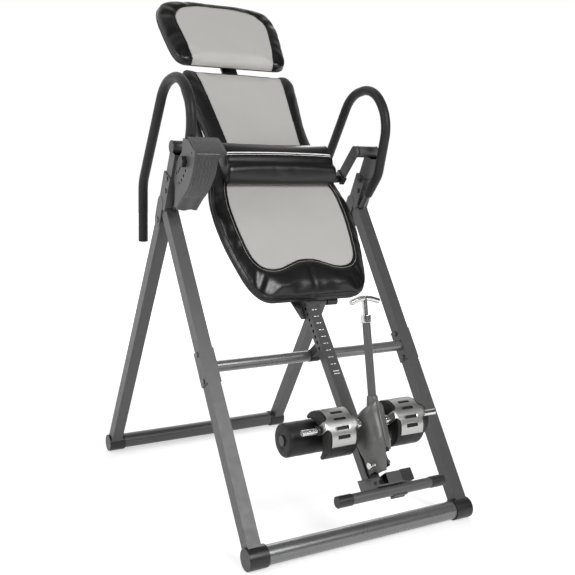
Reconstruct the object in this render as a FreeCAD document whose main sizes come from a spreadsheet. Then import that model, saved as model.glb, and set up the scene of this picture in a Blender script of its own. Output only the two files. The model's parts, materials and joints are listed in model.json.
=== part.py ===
import FreeCAD, Part
import Sketcher
import math
import os
import re

# Inversion table: a folding A-frame, a padded table that tilts in its pivot tubes, and a
# sliding leg shaft with heel rollers and lever-closed ankle cups.
# Row frame: +X to the user's left-hand side, +Y towards the head end, +Z up, floor at z = 0.

V = FreeCAD.Vector
ROT = FreeCAD.Rotation
PLACE = FreeCAD.Placement
X_AXIS = V(1, 0, 0)
Y_AXIS = V(0, 1, 0)
Z_AXIS = V(0, 0, 1)

doc = FreeCAD.newDocument("inversion_table")

# Driving dimensions in millimetres and degrees.
# "depth" is measured square to the table, backwards from the pivot axis;
# "along" is measured up the table from the pivot axis.
SIZES = {
    # A-frame
    "overall_width": 720.0, "base_reach": 555.6, "base_height": 29.0,
    "base_tube_radius": 25.4, "tube_wall": 2.0,
    "foot_radius": 29.5, "foot_length": 57.0, "foot_rim": 4.0,
    "leg_side": 38.0, "leg_wall": 2.0, "leg_offset": 335.0,
    "front_leg_lean": 31.9, "front_leg_length": 1030.0,
    "pivot_height": 1065.0, "pivot_back": 464.6,
    "hinge_behind": 111.0, "hinge_below": 209.0, "hinge_bolt_radius": 6.0,
    "hinge_plate_thick": 3.4, "hinge_plate_radius": 20.0,
    "crossbar_radius": 16.0, "crossbar_height": 464.0,
    "saddle_length": 100.0, "saddle_plate": 3.0, "saddle_bolt_gap": 78.0,
    "bolt_radius": 4.0, "bolt_head_radius": 7.5, "bolt_head_thick": 2.8,
    "post_lean": 27.5, "post_length": 165.0, "post_behind": 66.0, "post_below": 162.0,
    "socket_side": 44.0, "socket_depth": 51.0, "socket_length": 108.0, "socket_start": -15.0,
    "pivot_tube_radius": 18.0, "pivot_tube_wall": 3.0,
    "pivot_tube_outer": 351.0, "pivot_tube_inner": 281.0, "pivot_cap_thick": 3.0,
    "bush_length": 30.0, "bush_flange": 3.0, "bush_bore_radius": 12.05,
    "handle_offset": 328.0, "handle_tube_radius": 9.5, "handle_grip_radius": 15.0,
    # angle stop plate, its pull knob and the finger guard
    "stop_plate_offset": 345.5, "stop_plate_thick": 3.0, "stop_plate_reach": 154.0,
    "stop_pin_radius": 5.0, "stop_pin_reach": 92.0, "stop_pin_angle": 241.5,
    "stop_pin_tip": 266.0, "stop_knob_radius": 17.0,
    "guard_thick": 4.0, "guard_width": 75.0,
    # table
    "table_lean": 36.5, "arm_thick": 8.0, "arm_inner": 268.0, "arm_width": 36.0,
    "arm_length": 124.0, "arm_bolt_inset": 10.0, "arm_droop": 8.4,
    "axle_radius": 12.0, "axle_length": 44.0,
    "frame_tube_radius": 12.5, "frame_tube_depth": 123.5, "frame_side_offset": 185.0,
    "frame_top": 340.0, "frame_bottom": -330.0,
    "sleeve_width": 42.6, "sleeve_depth": 33.6, "sleeve_top": 60.0,
    "sleeve_bottom": -470.0, "mouth_bottom": -505.0, "boss_length": 36.0,
    "board_front": 105.0, "board_thick": 6.0, "board_inset": 12.0,
    "pad_front": 68.0,
    "headrest_front": 62.0, "headrest_thick": 46.0,
    "headrest_bar_width": 56.0, "headrest_bar_thick": 8.0,
    "pillow_length": 380.0, "pillow_height": 150.0, "pillow_thick": 62.0, "pillow_along": -20.0,
    "pillow_back_round": 20.0, "pillow_front_round": 42.0,
    # leg shaft
    "shaft_width": 38.0, "shaft_thick": 29.0, "shaft_front": 114.5, "shaft_wall": 2.0,
    "shaft_top": -120.0, "shaft_bottom": -1040.0,
    "scale_hole_radius": 4.5, "scale_hole_pitch": 18.3, "scale_hole_first": -610.0,
    "roller_radius": 45.0, "roller_inner": 40.0, "roller_outer": 224.0,
    "roller_depth": 124.0, "roller_along": -860.0, "roller_axle_radius": 8.0,
    "foot_bar_radius": 13.5, "foot_bar_half": 158.0, "foot_bar_cap_radius": 15.0,
    "foot_bar_cap_length": 42.0, "foot_bar_half_overall": 166.0,
    "foot_bar_depth": 58.0, "foot_bar_along": -1057.5,
    # ankle lever
    "lever_depth": 55.0, "lever_along": -985.0, "lever_bolt_radius": 5.0,
    "lever_tube_radius": 11.0, "lever_tube_lean": 27.5,
    "handle_rod_radius": 7.4, "handle_bar_radius": 7.4,
    "lever_shell_half": 39.0, "lever_shell_wall": 3.0, "cup_rod_radius": 8.0, "cup_rod_half": 212.0,
    "cup_rod_depth": 38.8, "cup_rod_along": -876.0,
    "cup_radius": 64.0, "cup_metal": 2.5, "cup_centre_depth": 74.8, "cup_offset": 108.0,
    "cup_metal_width": 72.0, "cup_foam_width": 90.0, "cup_cavity_radius": 54.0,
    "cup_cavity_depth": 101.8, "running_gap": 0.06, "soft_gap": 0.3,
}

sheet = doc.addObject("Spreadsheet::Sheet", "sizes")
for row, (alias, number) in enumerate(SIZES.items(), 1):
    sheet.set("A%d" % row, alias)
    sheet.set("B%d" % row, str(number))
    sheet.setAlias("B%d" % row, alias)
doc.recompute()


def size(alias):
    return float(getattr(sheet, alias))


def bind(obj, prop, formula):
    """Bind a property to a formula written with the sheet's aliases."""
    def with_sheet(match):
        word = match.group(0)
        return "sizes." + word if word in SIZES else word
    obj.setExpression(prop, re.sub(r"[a-z][a-z_]+", with_sheet, formula))


# ---------------------------------------------------------------- frames
def tilted(y, z, degrees):
    """A frame at (0, y, z), turned about X."""
    return PLACE(V(0, y, z), ROT(X_AXIS, degrees))


def at(x, y, z, frame=None):
    spot = PLACE(V(x, y, z), ROT())
    return frame * spot if frame else spot


lean = math.radians(size("table_lean"))
front_edge = (size("pivot_back") - size("base_reach") - size("foot_bar_cap_radius")
              + size("foot_bar_depth") * math.cos(lean) + size("foot_bar_along") * math.sin(lean))
rear_edge = size("base_reach") + size("foot_radius")
middle = (front_edge + rear_edge) / 2          # puts the origin under the middle of the object

FRONT_Y = -size("base_reach") - middle
REAR_Y = size("base_reach") - middle
PIVOT_Y = FRONT_Y + size("pivot_back")
PIVOT_Z = size("pivot_height")
HINGE_Y = PIVOT_Y + size("hinge_behind")
HINGE_Z = PIVOT_Z - size("hinge_below")
BASE_Z = size("base_height")
REAR_RUN = REAR_Y - HINGE_Y
REAR_DROP = HINGE_Z - BASE_Z
REAR_LEG_LEAN = math.degrees(math.atan2(REAR_RUN, REAR_DROP))
REAR_LEG_LENGTH = math.hypot(REAR_RUN, REAR_DROP)

WORLD = PLACE()
FRONT_LEG = tilted(FRONT_Y, BASE_Z, -size("front_leg_lean"))
REAR_LEG = tilted(REAR_Y, BASE_Z, REAR_LEG_LEAN)
PIVOT = tilted(PIVOT_Y, PIVOT_Z, 0)
POST = tilted(PIVOT_Y + size("post_behind"), PIVOT_Z - size("post_below"), size("post_lean"))
TABLE = tilted(PIVOT_Y, PIVOT_Z, -size("table_lean"))
TURN = {"X": ROT(Y_AXIS, 90), "Y": ROT(X_AXIS, -90), "Z": ROT()}


# ---------------------------------------------------------------- building blocks
def block(name, dims, centre, frame=WORLD):
    """A box of three formulas, centred on a point of a frame."""
    obj = doc.addObject("Part::Box", name)
    for prop, formula in zip(("Length", "Width", "Height"), dims):
        bind(obj, prop, formula)
    obj.recompute()
    half = V(obj.Length.Value, obj.Width.Value, obj.Height.Value) * 0.5
    obj.Placement = frame * PLACE(V(*centre) - half, ROT())
    return obj


def rod(name, radius, length, centre, axis="X", frame=WORLD):
    """A cylinder centred on a point of a frame, along one of the frame's axes."""
    obj = doc.addObject("Part::Cylinder", name)
    bind(obj, "Radius", radius)
    bind(obj, "Height", length)
    obj.recompute()
    turn = TURN[axis] if isinstance(axis, str) else axis
    start = turn.multVec(V(0, 0, -obj.Height.Value / 2))
    obj.Placement = frame * PLACE(V(*centre) + start, turn)
    return obj


def fuse(name, *shapes):
    obj = doc.addObject("Part::MultiFuse", name)
    obj.Shapes = list(shapes)
    obj.Refine = True
    return obj


def cut(name, base, *tools):
    obj = doc.addObject("Part::Cut", name)
    obj.Base = base
    obj.Tool = tools[0] if len(tools) == 1 else fuse(name + "_tools", *tools)
    obj.Refine = True
    return obj


def together(name, *pieces):
    """Several separate solids in one node."""
    obj = doc.addObject("Part::Compound", name)
    obj.Links = list(pieces)
    return obj


def pipe(name, radius, inner, length, centre, axis="X", frame=WORLD):
    outside = rod(name + "_outside", radius, length, centre, axis, frame)
    inside = rod(name + "_inside", inner, length + " + 2", centre, axis, frame)
    return cut(name, outside, inside)


def rounded_path(corners, radii):
    """Straight runs joined by tangent arcs; corners are points of one plane."""
    edges = []
    start = corners[0]
    for before, corner, after, radius in zip(corners, corners[1:], corners[2:], radii):
        inward = (before - corner).normalize()
        outward = (after - corner).normalize()
        turn = math.pi - inward.getAngle(outward)
        tangent = radius * math.tan(turn / 2)
        first = corner + inward * tangent
        last = corner + outward * tangent
        bisector = (inward + outward).normalize()
        middle_point = corner + bisector * (radius / math.cos(turn / 2) - radius)
        edges.append(Part.LineSegment(start, first))
        edges.append(Part.Arc(first, middle_point, last))
        start = last
    edges.append(Part.LineSegment(start, corners[-1]))
    return edges


def bent_rod(name, radius, corners, radii, frame=WORLD):
    """A round bar swept along a rounded path."""
    path = doc.addObject("Part::Feature", name + "_path")
    path.Shape = Part.Wire([edge.toShape() for edge in rounded_path(corners, radii)])
    path.Placement = frame
    ring = doc.addObject("Part::Circle", name + "_ring")
    bind(ring, "Radius", radius)
    heading = (corners[1] - corners[0]).normalize()
    ring.Placement = frame * PLACE(corners[0], ROT(Z_AXIS, heading))
    sweep = doc.addObject("Part::Sweep", name)
    sweep.Sections = [ring]
    sweep.Spine = path
    sweep.Solid = True
    return sweep


PLANES = {"XY": "XY_Plane", "XZ": "XZ_Plane", "YZ": "YZ_Plane"}


def new_body(name, frame=WORLD):
    body = doc.addObject("PartDesign::Body", name)
    body.Placement = frame
    return body


def new_sketch(body, name, plane, offset=0.0):
    sketch = body.newObject("Sketcher::SketchObject", name)
    wanted = PLANES[plane]
    base = [item for item in body.Origin.OriginFeatures if item.Role == wanted][0]
    sketch.AttachmentSupport = (base, [""])
    sketch.MapMode = "FlatFace"
    sketch.AttachmentOffset = PLACE(V(0, 0, offset), ROT())
    return sketch


def draw(sketch, start, *steps):
    """Draw a closed outline. A step is an end point, or (middle, end) for an arc."""
    here = V(start[0], start[1], 0)
    for step in steps:
        if len(step) == 2 and isinstance(step[0], tuple):
            through = V(step[0][0], step[0][1], 0)
            there = V(step[1][0], step[1][1], 0)
            sketch.addGeometry(Part.Arc(here, through, there), False)
        else:
            there = V(step[0], step[1], 0)
            sketch.addGeometry(Part.LineSegment(here, there), False)
        here = there


def draw_smooth(sketch, half_outline):
    """Draw a closed outline, smooth on each side and straight across its two ends."""
    right = [V(x, y, 0) for x, y in half_outline]
    left = [V(-x, y, 0) for x, y in half_outline]
    for side in (right, left):
        curve = Part.BSplineCurve()
        curve.interpolate(side)
        sketch.addGeometry(curve, False)
    sketch.addGeometry(Part.LineSegment(right[0], left[0]), False)
    sketch.addGeometry(Part.LineSegment(right[-1], left[-1]), False)


def circle(sketch, x, y, radius):
    index = sketch.addGeometry(Part.Circle(V(x, y, 0), Z_AXIS, 1.0), False)
    constraint = sketch.addConstraint(Sketcher.Constraint("Radius", index, 5.0))
    bind(sketch, "Constraints[%d]" % constraint, radius)


def pad(body, sketch, length, name, midplane=False, reverse=False):
    feature = body.newObject("PartDesign::Pad", name)
    feature.Profile = sketch
    bind(feature, "Length", length)
    feature.Midplane = midplane
    feature.Reversed = reverse
    body.Tip = feature
    return feature


def pocket(body, sketch, length, name, midplane=True, reverse=False):
    feature = body.newObject("PartDesign::Pocket", name)
    feature.Profile = sketch
    bind(feature, "Length", length)
    feature.Midplane = midplane
    feature.Reversed = reverse
    body.Tip = feature
    return feature


NODES = []


def node(obj, name):
    """Register a finished sub-part under the name of its file."""
    obj.Label = name
    NODES.append((name, obj))
    return obj


def both_sides(build):
    """Build a sub-part for the left (-X) and the right (+X)."""
    return [build(side, sign) for side, sign in (("left", -1), ("right", 1))]


# ---------------------------------------------------------------- A-frame
def base_tube(name, y):
    tube = pipe(name, "base_tube_radius", "base_tube_radius - tube_wall",
                "overall_width - 2 * foot_rim", (0, y, BASE_Z))
    return node(tube, name)


def leg_hollow(name, length, frame, sign):
    middle_z = length / 2
    x = sign * size("leg_offset")
    outer = block(name + "_outer", ("leg_side", "leg_side", str(length)), (x, 0, middle_z), frame)
    inner_side = "leg_side - 2 * leg_wall"
    inner = block(name + "_inner", (inner_side, inner_side, str(length + 2)), (x, 0, middle_z), frame)
    return cut(name + "_box", outer, inner)


def foot_caps(name, y, leg_frame):
    caps = []
    for side, sign in (("left", -1), ("right", 1)):
        label = name + "_" + side
        x = sign * (size("overall_width") - size("foot_length")) / 2
        shell = rod(label + "_shell", "foot_radius", "foot_length", (x, y, BASE_Z))
        tube = rod(label + "_tube", "base_tube_radius", "overall_width - 2 * foot_rim", (0, y, BASE_Z))
        below = block(label + "_below", ("foot_length + 2", "2 * foot_radius", "foot_radius"),
                      (x, y, -size("foot_radius") / 2))
        notch = block(label + "_notch", ("leg_side + 0.4", "leg_side + 0.4", "2 * foot_radius"),
                      (sign * size("leg_offset"), 0, size("foot_radius")), leg_frame)
        caps.append(cut(label, shell, tube, below, notch))
    return node(together(name, *caps), name)


def saddle_bolt_spots():
    along = (size("crossbar_height") - BASE_Z) / math.cos(math.radians(size("front_leg_lean")))
    gap = size("saddle_bolt_gap") / 2
    return along, (along - gap, along + gap)


def through_bolt(name, x_inner, x_outer, sign, spot, frame):
    """A bolt along X with a domed head outside and a nut inside."""
    head = size("bolt_head_thick")
    middle_x = sign * (x_inner + x_outer) / 2
    shank = rod(name + "_shank", "bolt_radius", str(x_outer - x_inner + 2 * head),
                (middle_x, spot[0], spot[1]), "X", frame)
    cap = rod(name + "_head", "bolt_head_radius", "bolt_head_thick",
              (sign * (x_outer + head / 2), spot[0], spot[1]), "X", frame)
    nut = rod(name + "_nut", "bolt_head_radius", "bolt_head_thick + 2",
              (sign * (x_inner - head / 2 - 1), spot[0], spot[1]), "X", frame)
    return fuse(name, shank, cap, nut)


def bolt_hole(name, sign, spot, frame, length="leg_side + 20"):
    return rod(name, "bolt_radius", length, (sign * size("leg_offset"), spot[0], spot[1]), "X", frame)


POST_BOLTS = ((-4.0, 45.0), (0.0, 81.0))


def front_leg(side, sign):
    name = side + "_front_leg"
    hollow = leg_hollow(name, size("front_leg_length"), FRONT_LEG, sign)
    tube = rod(name + "_base", "base_tube_radius", "overall_width", (0, FRONT_Y, BASE_Z))
    socket = socket_outside(name + "_socket", sign)
    holes = [bolt_hole("%s_hole_%d" % (name, i), sign, (0, spot), FRONT_LEG)
             for i, spot in enumerate(saddle_bolt_spots()[1])]
    return node(cut(name, hollow, tube, socket, *holes), name)


def crossbar():
    bar = pipe("front_crossbar", "crossbar_radius", "crossbar_radius - tube_wall",
               "2 * leg_offset - leg_side - 2 * saddle_plate",
               (0, 0, saddle_bolt_spots()[0]), "X", FRONT_LEG)
    return node(bar, "front_crossbar")


def saddles():
    """A channel round the back of each front leg, which carries the crossbar."""
    made = []
    along, spots = saddle_bolt_spots()
    for side, sign in (("left", -1), ("right", 1)):
        name = side + "_saddle"
        x = sign * size("leg_offset")
        outer = block(name + "_outer", ("leg_side + 2 * saddle_plate", "leg_side + saddle_plate",
                                        "saddle_length"), (x, size("saddle_plate") / 2, along), FRONT_LEG)
        leg = block(name + "_leg", ("leg_side", "leg_side", "saddle_length + 2"), (x, 0, along), FRONT_LEG)
        holes = [bolt_hole("%s_hole_%d" % (name, i), sign, (0, spot), FRONT_LEG)
                 for i, spot in enumerate(spots)]
        made.append(cut(name, outer, leg, *holes))
    return node(together("crossbar_saddles", *made), "crossbar_saddles")


def saddle_bolts():
    made = []
    inner = size("leg_offset") - size("leg_side") / 2 - size("saddle_plate")
    outer = size("leg_offset") + size("leg_side") / 2 + size("saddle_plate")
    for side, sign in (("left", -1), ("right", 1)):
        for i, spot in enumerate(saddle_bolt_spots()[1]):
            name = "%s_saddle_bolt_%d" % (side, i)
            made.append(through_bolt(name, inner, outer, sign, (0, spot), FRONT_LEG))
    return node(together("crossbar_bolts", *made), "crossbar_bolts")


def shaft_rest():
    """Rubber buffer on the crossbar, which the leg shaft leans on."""
    shaft_back = size("shaft_front") + size("shaft_thick") + size("soft_gap")
    bar = TABLE.inverse().multVec(FRONT_LEG.multVec(V(0, 0, saddle_bolt_spots()[0])))
    reach = bar.y - shaft_back
    pad_block = block("shaft_rest_block", ("shaft_width - 6", str(reach), "2 * crossbar_radius - 8"),
                      (0, shaft_back + reach / 2, bar.z), TABLE)
    clamp = rod("shaft_rest_clamp", "crossbar_radius + 1.5", "shaft_width - 6", (0, bar.y, bar.z), "X", TABLE)
    bar_space = rod("shaft_rest_bar", "crossbar_radius", "shaft_width", (0, bar.y, bar.z), "X", TABLE)
    return node(cut("shaft_rest_buffer", fuse("shaft_rest_both", pad_block, clamp), bar_space),
                "shaft_rest_buffer")


def socket_outside(name, sign):
    middle_z = size("socket_start") + size("socket_length") / 2
    back = (size("socket_depth") - size("leg_side")) / 2 - 2
    return block(name, ("socket_side", "socket_depth", "socket_length"),
                 (sign * size("leg_offset"), back, middle_z), POST)


def post_socket(side, sign):
    """Welded socket that joins the leg, the post and the rear leg's hinge."""
    name = side + "_post_socket"
    outside = socket_outside(name + "_outside", sign)
    post_space = block(name + "_space", ("leg_side", "leg_side", "socket_length + 20"),
                       (sign * size("leg_offset"), 0, size("socket_length") / 2 + 10), POST)
    radius = size("hinge_plate_radius")
    top = V(0, PIVOT_Y + 84, PIVOT_Z - 158)
    bottom = V(0, HINGE_Y, HINGE_Z)
    along = (bottom - top).normalize()
    across = V(0, -along.z, along.y) * radius
    cheeks = []
    for i, x in enumerate((size("leg_offset") - size("leg_side") / 2 - 0.4 - size("hinge_plate_thick"),
                           size("leg_offset") + size("leg_side") / 2 + 0.4)):
        start = min(sign * x, sign * (x + size("hinge_plate_thick")))
        body = new_body("%s_cheek_%d" % (name, i))
        sketch = new_sketch(body, "%s_cheek_sketch_%d" % (name, i), "YZ", start)
        corners = (top - across, bottom - across, bottom + along * radius,
                   bottom + across, top + across, top - along * radius)
        a, b, c, d, e, f = [(p.y, p.z) for p in corners]
        draw(sketch, a, b, (c, d), e, (f, a))
        circle(sketch, HINGE_Y, HINGE_Z, "hinge_bolt_radius")
        pad(body, sketch, "hinge_plate_thick", "%s_cheek_pad_%d" % (name, i))
        cheeks.append(body)
    solid = fuse(name + "_solid", outside, *cheeks)
    holes = [bolt_hole("%s_hole_%d" % (name, i), sign, spot, POST) for i, spot in enumerate(POST_BOLTS)]
    handle = handle_tube_sweep(name + "_handle", sign)
    return node(cut(name, solid, post_space, handle, *holes), name)


def pivot_post(side, sign):
    name = side + "_pivot_post"
    hollow = leg_hollow(name, size("post_length"), POST, sign)
    length = "pivot_tube_outer - pivot_tube_inner"
    x = sign * (size("pivot_tube_outer") + size("pivot_tube_inner")) / 2
    tube = rod(name + "_tube", "pivot_tube_radius", length, (x, 0, 0), "X", PIVOT)
    bore = rod(name + "_bore", "pivot_tube_radius - pivot_tube_wall", length + " + 2", (x, 0, 0), "X", PIVOT)
    holes = [bolt_hole("%s_hole_%d" % (name, i), sign, spot, POST) for i, spot in enumerate(POST_BOLTS)]
    drilled = cut(name + "_drilled", hollow, *holes)
    solid = fuse(name + "_solid", drilled, tube)
    solid.Refine = False
    cap_room = rod(name + "_cap_room", "pivot_tube_radius + 1", "10",
                   (sign * (size("pivot_tube_outer") + 5), 0, 0), "X", PIVOT)
    final = cut(name, solid, bore, cap_room)
    final.Refine = False
    return node(final, name)


def socket_bolts():
    made = []
    inner = size("leg_offset") - size("socket_side") / 2
    outer = size("leg_offset") + size("socket_side") / 2
    for side, sign in (("left", -1), ("right", 1)):
        for i, spot in enumerate(POST_BOLTS):
            made.append(through_bolt("%s_socket_bolt_%d" % (side, i), inner, outer, sign, spot, POST))
    return node(together("socket_bolts", *made), "socket_bolts")


def pivot_caps():
    made = []
    for side, sign in (("left", -1), ("right", 1)):
        name = side + "_pivot_cap"
        outer = size("pivot_tube_outer")
        disc = rod(name + "_disc", "pivot_tube_radius + 1", "pivot_cap_thick",
                   (sign * (outer + size("pivot_cap_thick") / 2), 0, 0), "X", PIVOT)
        plug = rod(name + "_plug", "pivot_tube_radius - pivot_tube_wall", "12",
                   (sign * (outer - 6), 0, 0), "X", PIVOT)
        made.append(fuse(name, disc, plug))
    return node(together("pivot_tube_caps", *made), "pivot_tube_caps")


def pivot_bushes():
    made = []
    for side, sign in (("left", -1), ("right", 1)):
        name = side + "_pivot_bush"
        inner = size("pivot_tube_inner")
        sleeve = rod(name + "_sleeve", "pivot_tube_radius - pivot_tube_wall", "bush_length",
                     (sign * (inner + size("bush_length") / 2), 0, 0), "X", PIVOT)
        flange = rod(name + "_flange", "pivot_tube_radius + 0.5", "bush_flange",
                     (sign * (inner - size("bush_flange") / 2), 0, 0), "X", PIVOT)
        bore = rod(name + "_bore", "bush_bore_radius", "3 * bush_length", (sign * inner, 0, 0), "X", PIVOT)
        made.append(cut(name, fuse(name + "_solid", sleeve, flange), bore))
    return node(together("pivot_bushes", *made), "pivot_bushes")


# The handlebar's route in the plane beside the pivot: (behind, above) the pivot axis.
HANDLE_ROUTE = ((42, -176), (-50, -75), (-100, 95), (-22, 203), (108, 190), (308, -98), (318, -286))
HANDLE_RADII = (70, 125, 112, 112, 90)


def handle_corners(sign, from_start, short_of_end):
    x = sign * size("handle_offset")
    corners = [V(x, y, z) for y, z in HANDLE_ROUTE]
    first = (corners[1] - corners[0]).normalize()
    last = (corners[-2] - corners[-1]).normalize()
    corners[0] = corners[0] + first * from_start
    corners[-1] = corners[-1] + last * short_of_end
    return corners


def handle_tube_sweep(name, sign, radius="handle_tube_radius"):
    return bent_rod(name, radius, handle_corners(sign, 0.0, 6.0), HANDLE_RADII, PIVOT)


def handlebar(side, sign):
    name = side + "_handlebar_tube"
    tube = handle_tube_sweep(name + "_sweep", sign)
    bore = handle_tube_sweep(name + "_bore", sign, "handle_tube_radius - tube_wall")
    post_space = block(name + "_post", ("leg_side", "leg_side", "post_length"),
                       (sign * size("leg_offset"), 0, size("post_length") / 2), POST)
    leg_space = block(name + "_leg", ("leg_side", "leg_side", "front_leg_length"),
                      (sign * size("leg_offset"), 0, size("front_leg_length") / 2), FRONT_LEG)
    node(cut(name, tube, bore, post_space, leg_space), name)
    grip_name = side + "_handlebar_grip"
    foam = bent_rod(grip_name + "_foam", "handle_grip_radius", handle_corners(sign, 52.0, 0.0),
                    HANDLE_RADII, PIVOT)
    core = handle_tube_sweep(grip_name + "_core", sign)
    return node(cut(grip_name, foam, core), grip_name)


def polar(radius, degrees):
    """A (behind, above) point at an angle measured from straight up towards the head end."""
    angle = math.radians(degrees)
    return (radius * math.sin(angle), radius * math.cos(angle))


STOP_NOSE = 262.6          # angles at which the plate's round edge starts and ends
STOP_HEEL = 203.3
STOP_TAIL = (-14.0, -173.0)
STOP_TOP = (-106.0, 16.0)


def angle_stop_plate():
    body = new_body("angle_stop_plate", at(-size("stop_plate_offset"), 0, 0, PIVOT))
    sketch = new_sketch(body, "stop_plate_sketch", "YZ")
    reach = size("stop_plate_reach")
    bend = polar(reach, (STOP_NOSE + STOP_HEEL) / 2)
    draw(sketch, (-71, 21), STOP_TOP, polar(reach, STOP_NOSE), (bend, polar(reach, STOP_HEEL)),
         STOP_TAIL, (-1, -169), (-7, -115), (3, -92), (-21, -41), (-61, -17), (-71, 21))
    pin = polar(size("stop_pin_reach"), size("stop_pin_angle"))
    circle(sketch, pin[0], pin[1], "stop_pin_radius + running_gap")
    for angle in (226.0, 216.0, 206.0, 196.0):
        for radius, lead in ((77.0, 0.0), (109.0, 5.0)):
            x, y = polar(radius, angle + lead)
            circle(sketch, x, y, "stop_pin_radius - 0.8")
    circle(sketch, -131, -22, "stop_pin_radius - 2")
    pad(body, sketch, "stop_plate_thick", "stop_plate_pad", midplane=True)
    return node(body, "angle_stop_plate")


def finger_guard():
    """Woven guard round the plate's edge, which keeps fingers out of the arm's path."""
    outer_x = -size("stop_plate_offset") - size("stop_plate_thick") / 2
    body = new_body("finger_guard", at(outer_x, 0, 0, PIVOT))
    sketch = new_sketch(body, "guard_sketch", "YZ")
    near = size("stop_plate_reach") + 0.4
    far = near + size("guard_thick")
    mid_angle = (STOP_NOSE + STOP_HEEL) / 2
    lift = size("guard_thick")
    draw(sketch, (-103, 18.5), (-103, 18.5 + lift), polar(far, STOP_NOSE + 0.8),
         (polar(far, mid_angle), polar(far, STOP_HEEL)), (STOP_TAIL[0] - 1, STOP_TAIL[1] - lift - 1),
         (STOP_TAIL[0] + 1, STOP_TAIL[1] - 1.5), polar(near, STOP_HEEL),
         (polar(near, mid_angle), polar(near, STOP_NOSE)), (-103, 18.5))
    pad(body, sketch, "guard_width", "guard_pad")
    return node(body, "finger_guard")


def hinge_bolts():
    made = []
    inner = size("leg_offset") - size("leg_side") / 2 - 0.4 - size("hinge_plate_thick")
    outer = size("leg_offset") + size("leg_side") / 2 + 0.4 + size("hinge_plate_thick")
    head = size("overall_width") / 2 - outer
    for side, sign in (("left", -1), ("right", 1)):
        name = side + "_hinge_bolt"
        centre = sign * (inner + outer) / 2
        shank = rod(name + "_shank", "hinge_bolt_radius", str(outer - inner + 2 * head),
                    (centre, HINGE_Y, HINGE_Z))
        cap = rod(name + "_head", "hinge_bolt_radius + 4", str(head),
                  (sign * (outer + head / 2), HINGE_Y, HINGE_Z))
        nut = rod(name + "_nut", "hinge_bolt_radius + 4", "5", (sign * (inner - 2.5), HINGE_Y, HINGE_Z))
        made.append(fuse(name, shank, cap, nut))
    return node(together("hinge_bolts", *made), "hinge_bolts")


def rear_leg(side, sign):
    name = side + "_rear_leg"
    hollow = leg_hollow(name, REAR_LEG_LENGTH, REAR_LEG, sign)
    x = sign * size("leg_offset")
    end = rod(name + "_end", "leg_side / 2", "leg_side", (x, HINGE_Y, HINGE_Z))
    tube = rod(name + "_base", "base_tube_radius", "overall_width", (0, REAR_Y, BASE_Z))
    bore = rod(name + "_bore", "hinge_bolt_radius + running_gap", "leg_side + 2", (x, HINGE_Y, HINGE_Z))
    return node(cut(name, fuse(name + "_solid", hollow, end), tube, bore), name)


# ---------------------------------------------------------------- table
def pivot_arm(side, sign):
    """Flat hanger arm with its axle, which turns in the pivot bush."""
    name = side + "_pivot_arm"
    inner = size("arm_inner")
    start = inner if sign > 0 else -inner - size("arm_thick")
    body = new_body(name, TABLE)
    sketch = new_sketch(body, name + "_sketch", "YZ", start)
    droop = math.radians(size("arm_droop"))
    along = V(math.cos(droop), -math.sin(droop), 0)
    across = V(math.sin(droop), math.cos(droop), 0) * (size("arm_width") / 2)
    end = along * size("arm_length")
    nose = along * (-size("arm_width") / 2)
    a, b, c, d = [(p.x, p.y) for p in (V() - across, end - across, end + across, across)]
    draw(sketch, a, b, c, d, ((nose.x, nose.y), a))
    hole = along * (size("arm_length") - size("arm_bolt_inset"))
    circle(sketch, hole.x, hole.y, "bolt_radius")
    pad(body, sketch, "arm_thick", name + "_bar")
    axle_start = inner + size("arm_thick") if sign > 0 else -inner - size("arm_thick")
    axle = new_sketch(body, name + "_axle_sketch", "YZ", axle_start)
    circle(axle, 0, 0, "axle_radius")
    pad(body, axle, "axle_length", name + "_axle", reverse=sign < 0)
    return node(body, name)


ARM_LINE = TABLE * tilted(0, 0, -size("arm_droop"))


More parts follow.
